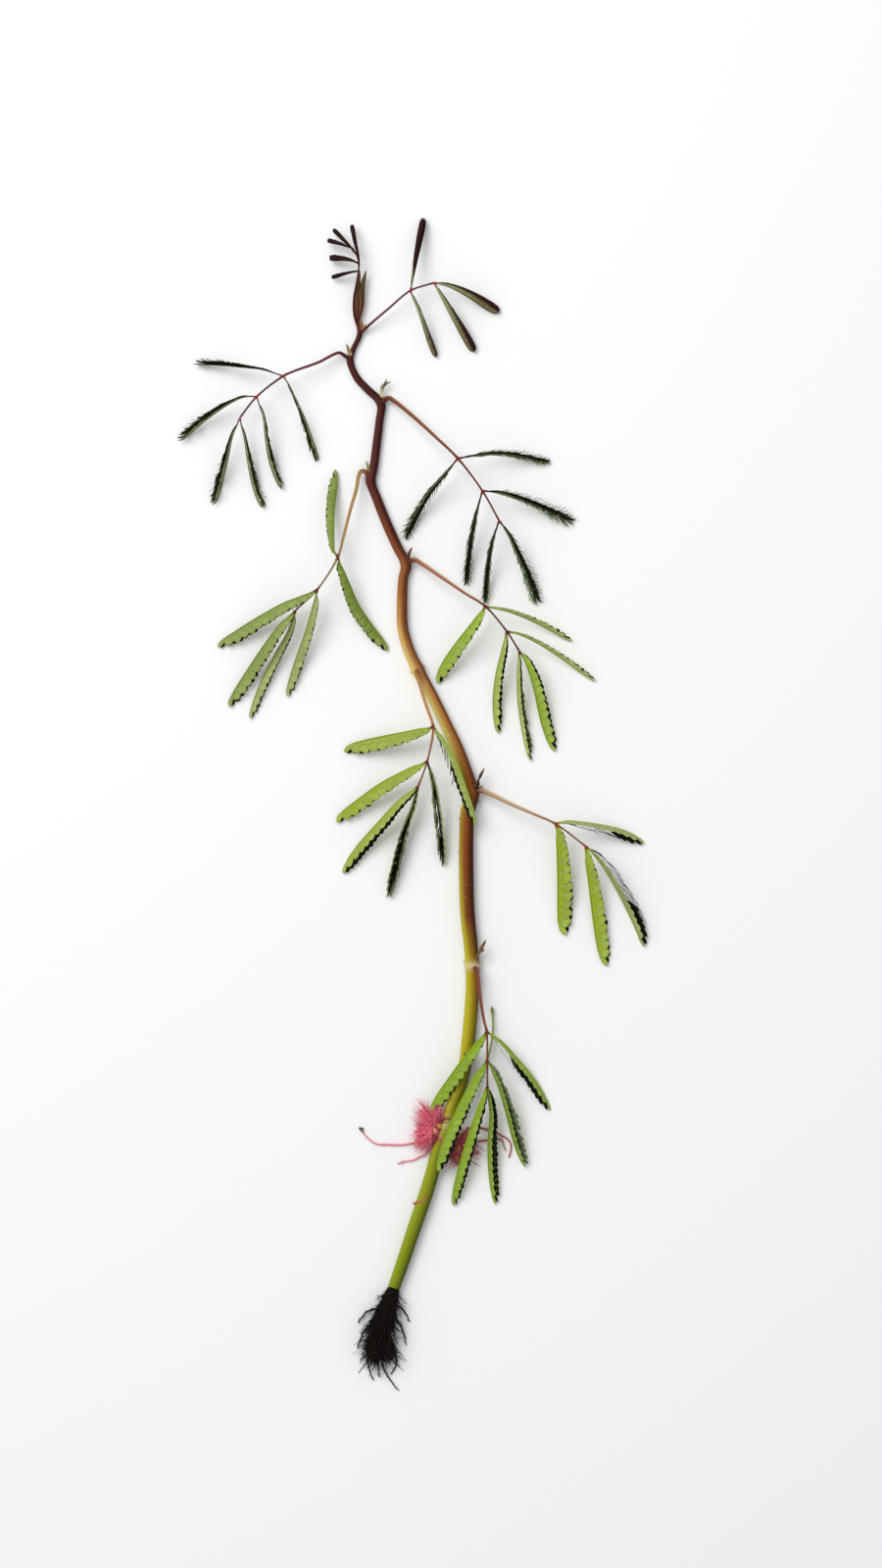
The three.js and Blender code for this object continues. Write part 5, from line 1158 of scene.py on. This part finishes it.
def long_root(route, width, count=70, fuzz=46):
    """Long curling root that thins to a third, with short fine hairs along it."""
    path = smooth_path(route, count)
    share = np.linspace(0, 1, count)
    path = path + 0.12 * np.stack([np.sin(19 * share), np.cos(23 * share), 0 * share], 1) * share[:, None]
    path[:, 2] = np.maximum(path[:, 2], width / 2)
    grid, angle = rod(path, width / 2 * (1 - 0.6 * share), 8)
    share = share[None, :, None]
    feet = path[chance.integers(4, count - 2, fuzz)]
    heads = chance.normal(0, 1, (fuzz, 3)) * np.array([1, 1, 0.5])
    return [marked(grid, angle, share, share, 0.4, 0),
            hairs(feet, heads, 0.5 + 0.6 * chance.random(fuzz), np.zeros((fuzz, 3)), radius=0.045,
                  rings=4, sides=3, wave=0.05)]


def tuft(heart, half, roots, root_width, origin, fan, lengths, count, clumps, bright):
    """A tuft: an oval heart, hairs that leave the origin in clumps, and long roots. A clump's heading
    lies in the fan of angles round the upright axis, hairs within it differ a little, and each clump
    bends its own way and has its own tone, paler the nearer it is to the bright heading."""
    way = np.radians(between(fan, chance.random(clumps)))
    lift = 0.8 * chance.random(clumps) ** 1.4
    sweep = np.column_stack([chance.normal(0, 2, (clumps, 2)), -0.7 - 1.2 * chance.random(clumps)])
    size = between(lengths, chance.random(clumps))
    shade = 0.55 - 0.5 * np.cos(way - np.radians(bright)) + chance.normal(0, 0.22, clumps)
    pick = chance.integers(0, clumps, count)
    heads = np.column_stack([np.cos(way), np.sin(way), lift])[pick] + chance.normal(0, 0.15, (count, 3))
    heads[:, 2] = np.abs(heads[:, 2])
    feet = np.array(origin) + chance.normal(0, 1, (count, 3)) * np.array([0.5, 0.9, 0.3])
    feet[:, 2] = np.maximum(feet[:, 2], 0.5)
    length = size[pick] * (0.42 + 0.58 * chance.random(count))
    bend = sweep[pick] + chance.normal(0, 0.45, (count, 3))
    tone = np.clip(shade[pick] + chance.normal(0, 0.1, count), 0, 1)
    bodies = [heart_body(heart, half),
              hairs(feet, heads, length, bend, radius=0.15, rings=10, sides=5, wave=0.85, tone=tone)]
    for route in roots:
        bodies += long_root(route, root_width)
    return bodies


def black_tangle(count=900, rings=60, flat=0.62):
    """Dark tangle at the cut foot: a swollen core whose heights are shares flat of a round one's, strands
    along their given routes, and hairs that leave the core mostly towards the foot."""
    path = smooth_path(BLACK_HEART, rings)
    radius = np.interp(np.linspace(0, 1, rings), [0, 0.22, 0.5, 0.78, 1], [1.7, 2.5, 3.1, 2.5, 0.7])
    grid = rod(path, radius, 28, ribs=0.07, rib_count=9)[0]
    grid[..., 2] = np.clip(grid[..., 2] * flat, RESTING, HIGHEST)
    bodies = [(grid, marks_of(grid, 0, 0, 0), marks_of(grid, 0, 0.2, 0))]
    for route in BLACK_STRANDS:
        bodies += long_root(route, 0.8)
    picks = chance.integers(0, rings - 2, count)
    low = picks[:, None] / (rings - 2)
    turn = chance.random(count) * np.pi
    off = np.column_stack([np.cos(turn), 0 * turn, flat * np.sin(turn)]) * radius[picks, None] * 1.02
    feet = path[picks] * np.array([1, 1, flat]) + off
    heads = (unit(off) * (0.15 + 0.6 * low) + 1.3 * unit(np.gradient(path, axis=0))[picks]
             + np.array([0, 0, 0.25]) + chance.normal(0, 0.28, (count, 3)))
    sway = chance.normal(0, 1.2, (count, 2))
    bend = np.column_stack([sway, (-0.4 - 1.2 * chance.random(count)) * low[:, 0]])
    length = (3 + 3 * chance.random(count)) * (0.7 + 0.6 * picks / (rings - 2))
    fringe = hairs(feet, heads, length, bend, radius=0.17, rings=9, sides=4, wave=0.6)
    fringe[0][..., 1] = np.maximum(fringe[0][..., 1], LOWEST_ROOT)
    return [*bodies, fringe]


add_piece("budding_root", [stub_body(width, route, rough=0.25) for width, route in BUDDING],
          BUDDING_MATERIAL, "pink_root", "stem")
left_tuft = tuft([7.1, -99.9, 2.6], [1.4, 1.5, 1.4], LEFT_ROOTS, 0.7, origin=[7.1, -99.4, 2.4],
                 fan=(72, 285), lengths=(4.2, 6.9), count=1300, clumps=60, bright=175)
add_piece("pink_tuft_left", left_tuft, PINK_MATERIAL, "pink_root", "pink_roots_left")
add_piece("long_root_cap", [stub_body(width, route, rough=0.4) for width, route in ROOT_CAP],
          CAP_MATERIAL, "pink_root", "pink_roots_left")
right_tuft = tuft([14.2, -105.6, 1.5], [1.7, 4.6, 1.4], RIGHT_ROOTS, 0.85, origin=[14, -105, 1.7],
                  fan=(-110, 60), lengths=(3, 6.6), count=600, clumps=44, bright=0)
add_piece("pink_tuft_right", right_tuft, RUSTY_MATERIAL, "pink_root", "pink_roots_right")
add_piece("black_tangle", black_tangle(), BLACK_MATERIAL, "black_root", "black_roots")

# Floor, light and camera

bpy.ops.mesh.primitive_plane_add(size=4, location=(0, 0, 0))
floor = bpy.context.object
floor.name = "floor"
floor_paint = bpy.data.materials.new("pale_floor")
floor_paint.use_nodes = True
paint = floor_paint.node_tree.nodes["Principled BSDF"]
paint.inputs["Base Color"].default_value = (0.86, 0.865, 0.87, 1)
paint.inputs["Roughness"].default_value = 0.9
paint.inputs["Specular IOR Level"].default_value = 0.1
floor.data.materials.append(floor_paint)


def lamp(name, spot, size, power):
    """Square soft light at a spot that points at the middle of the sprig."""
    light = bpy.data.lights.new(name, "AREA")
    light.size = size
    light.energy = power
    bulb = bpy.data.objects.new(name, light)
    bpy.context.scene.collection.objects.link(bulb)
    aim = unit(-np.array(spot))
    bulb.location = spot
    bulb.rotation_euler = (np.arccos(-aim[2]), 0, np.arctan2(aim[0], -aim[1]) + np.pi)


lamp("key", (-0.6, 0.65, 1.1), size=0.9, power=14.5)
lamp("fill", (0.6, -0.4, 1.3), size=1.4, power=1)

world = bpy.data.worlds.new("studio")
world.use_nodes = True
sky = world.node_tree.nodes["Background"].inputs
sky["Color"].default_value = (1, 0.995, 0.98, 1)
sky["Strength"].default_value = 0.58
bpy.context.scene.world = world
bpy.context.scene.view_settings.view_transform = "Standard"

# the photograph is 900 by 1600 pixels of 0.3 mm, so the view spans 480 mm of the surface in height
DISTANCE, VIEW_HEIGHT, SENSOR = 1.2, 0.48, 24
lens = bpy.data.cameras.new("overhead")
lens.sensor_fit = "VERTICAL"
lens.sensor_height = SENSOR
lens.lens = SENSOR * DISTANCE / VIEW_HEIGHT
camera = bpy.data.objects.new("overhead", lens)
bpy.context.scene.collection.objects.link(camera)
camera.location = (0.009, 0.006, DISTANCE)
camera.rotation_euler = (0, 0, 0)
bpy.context.scene.camera = camera
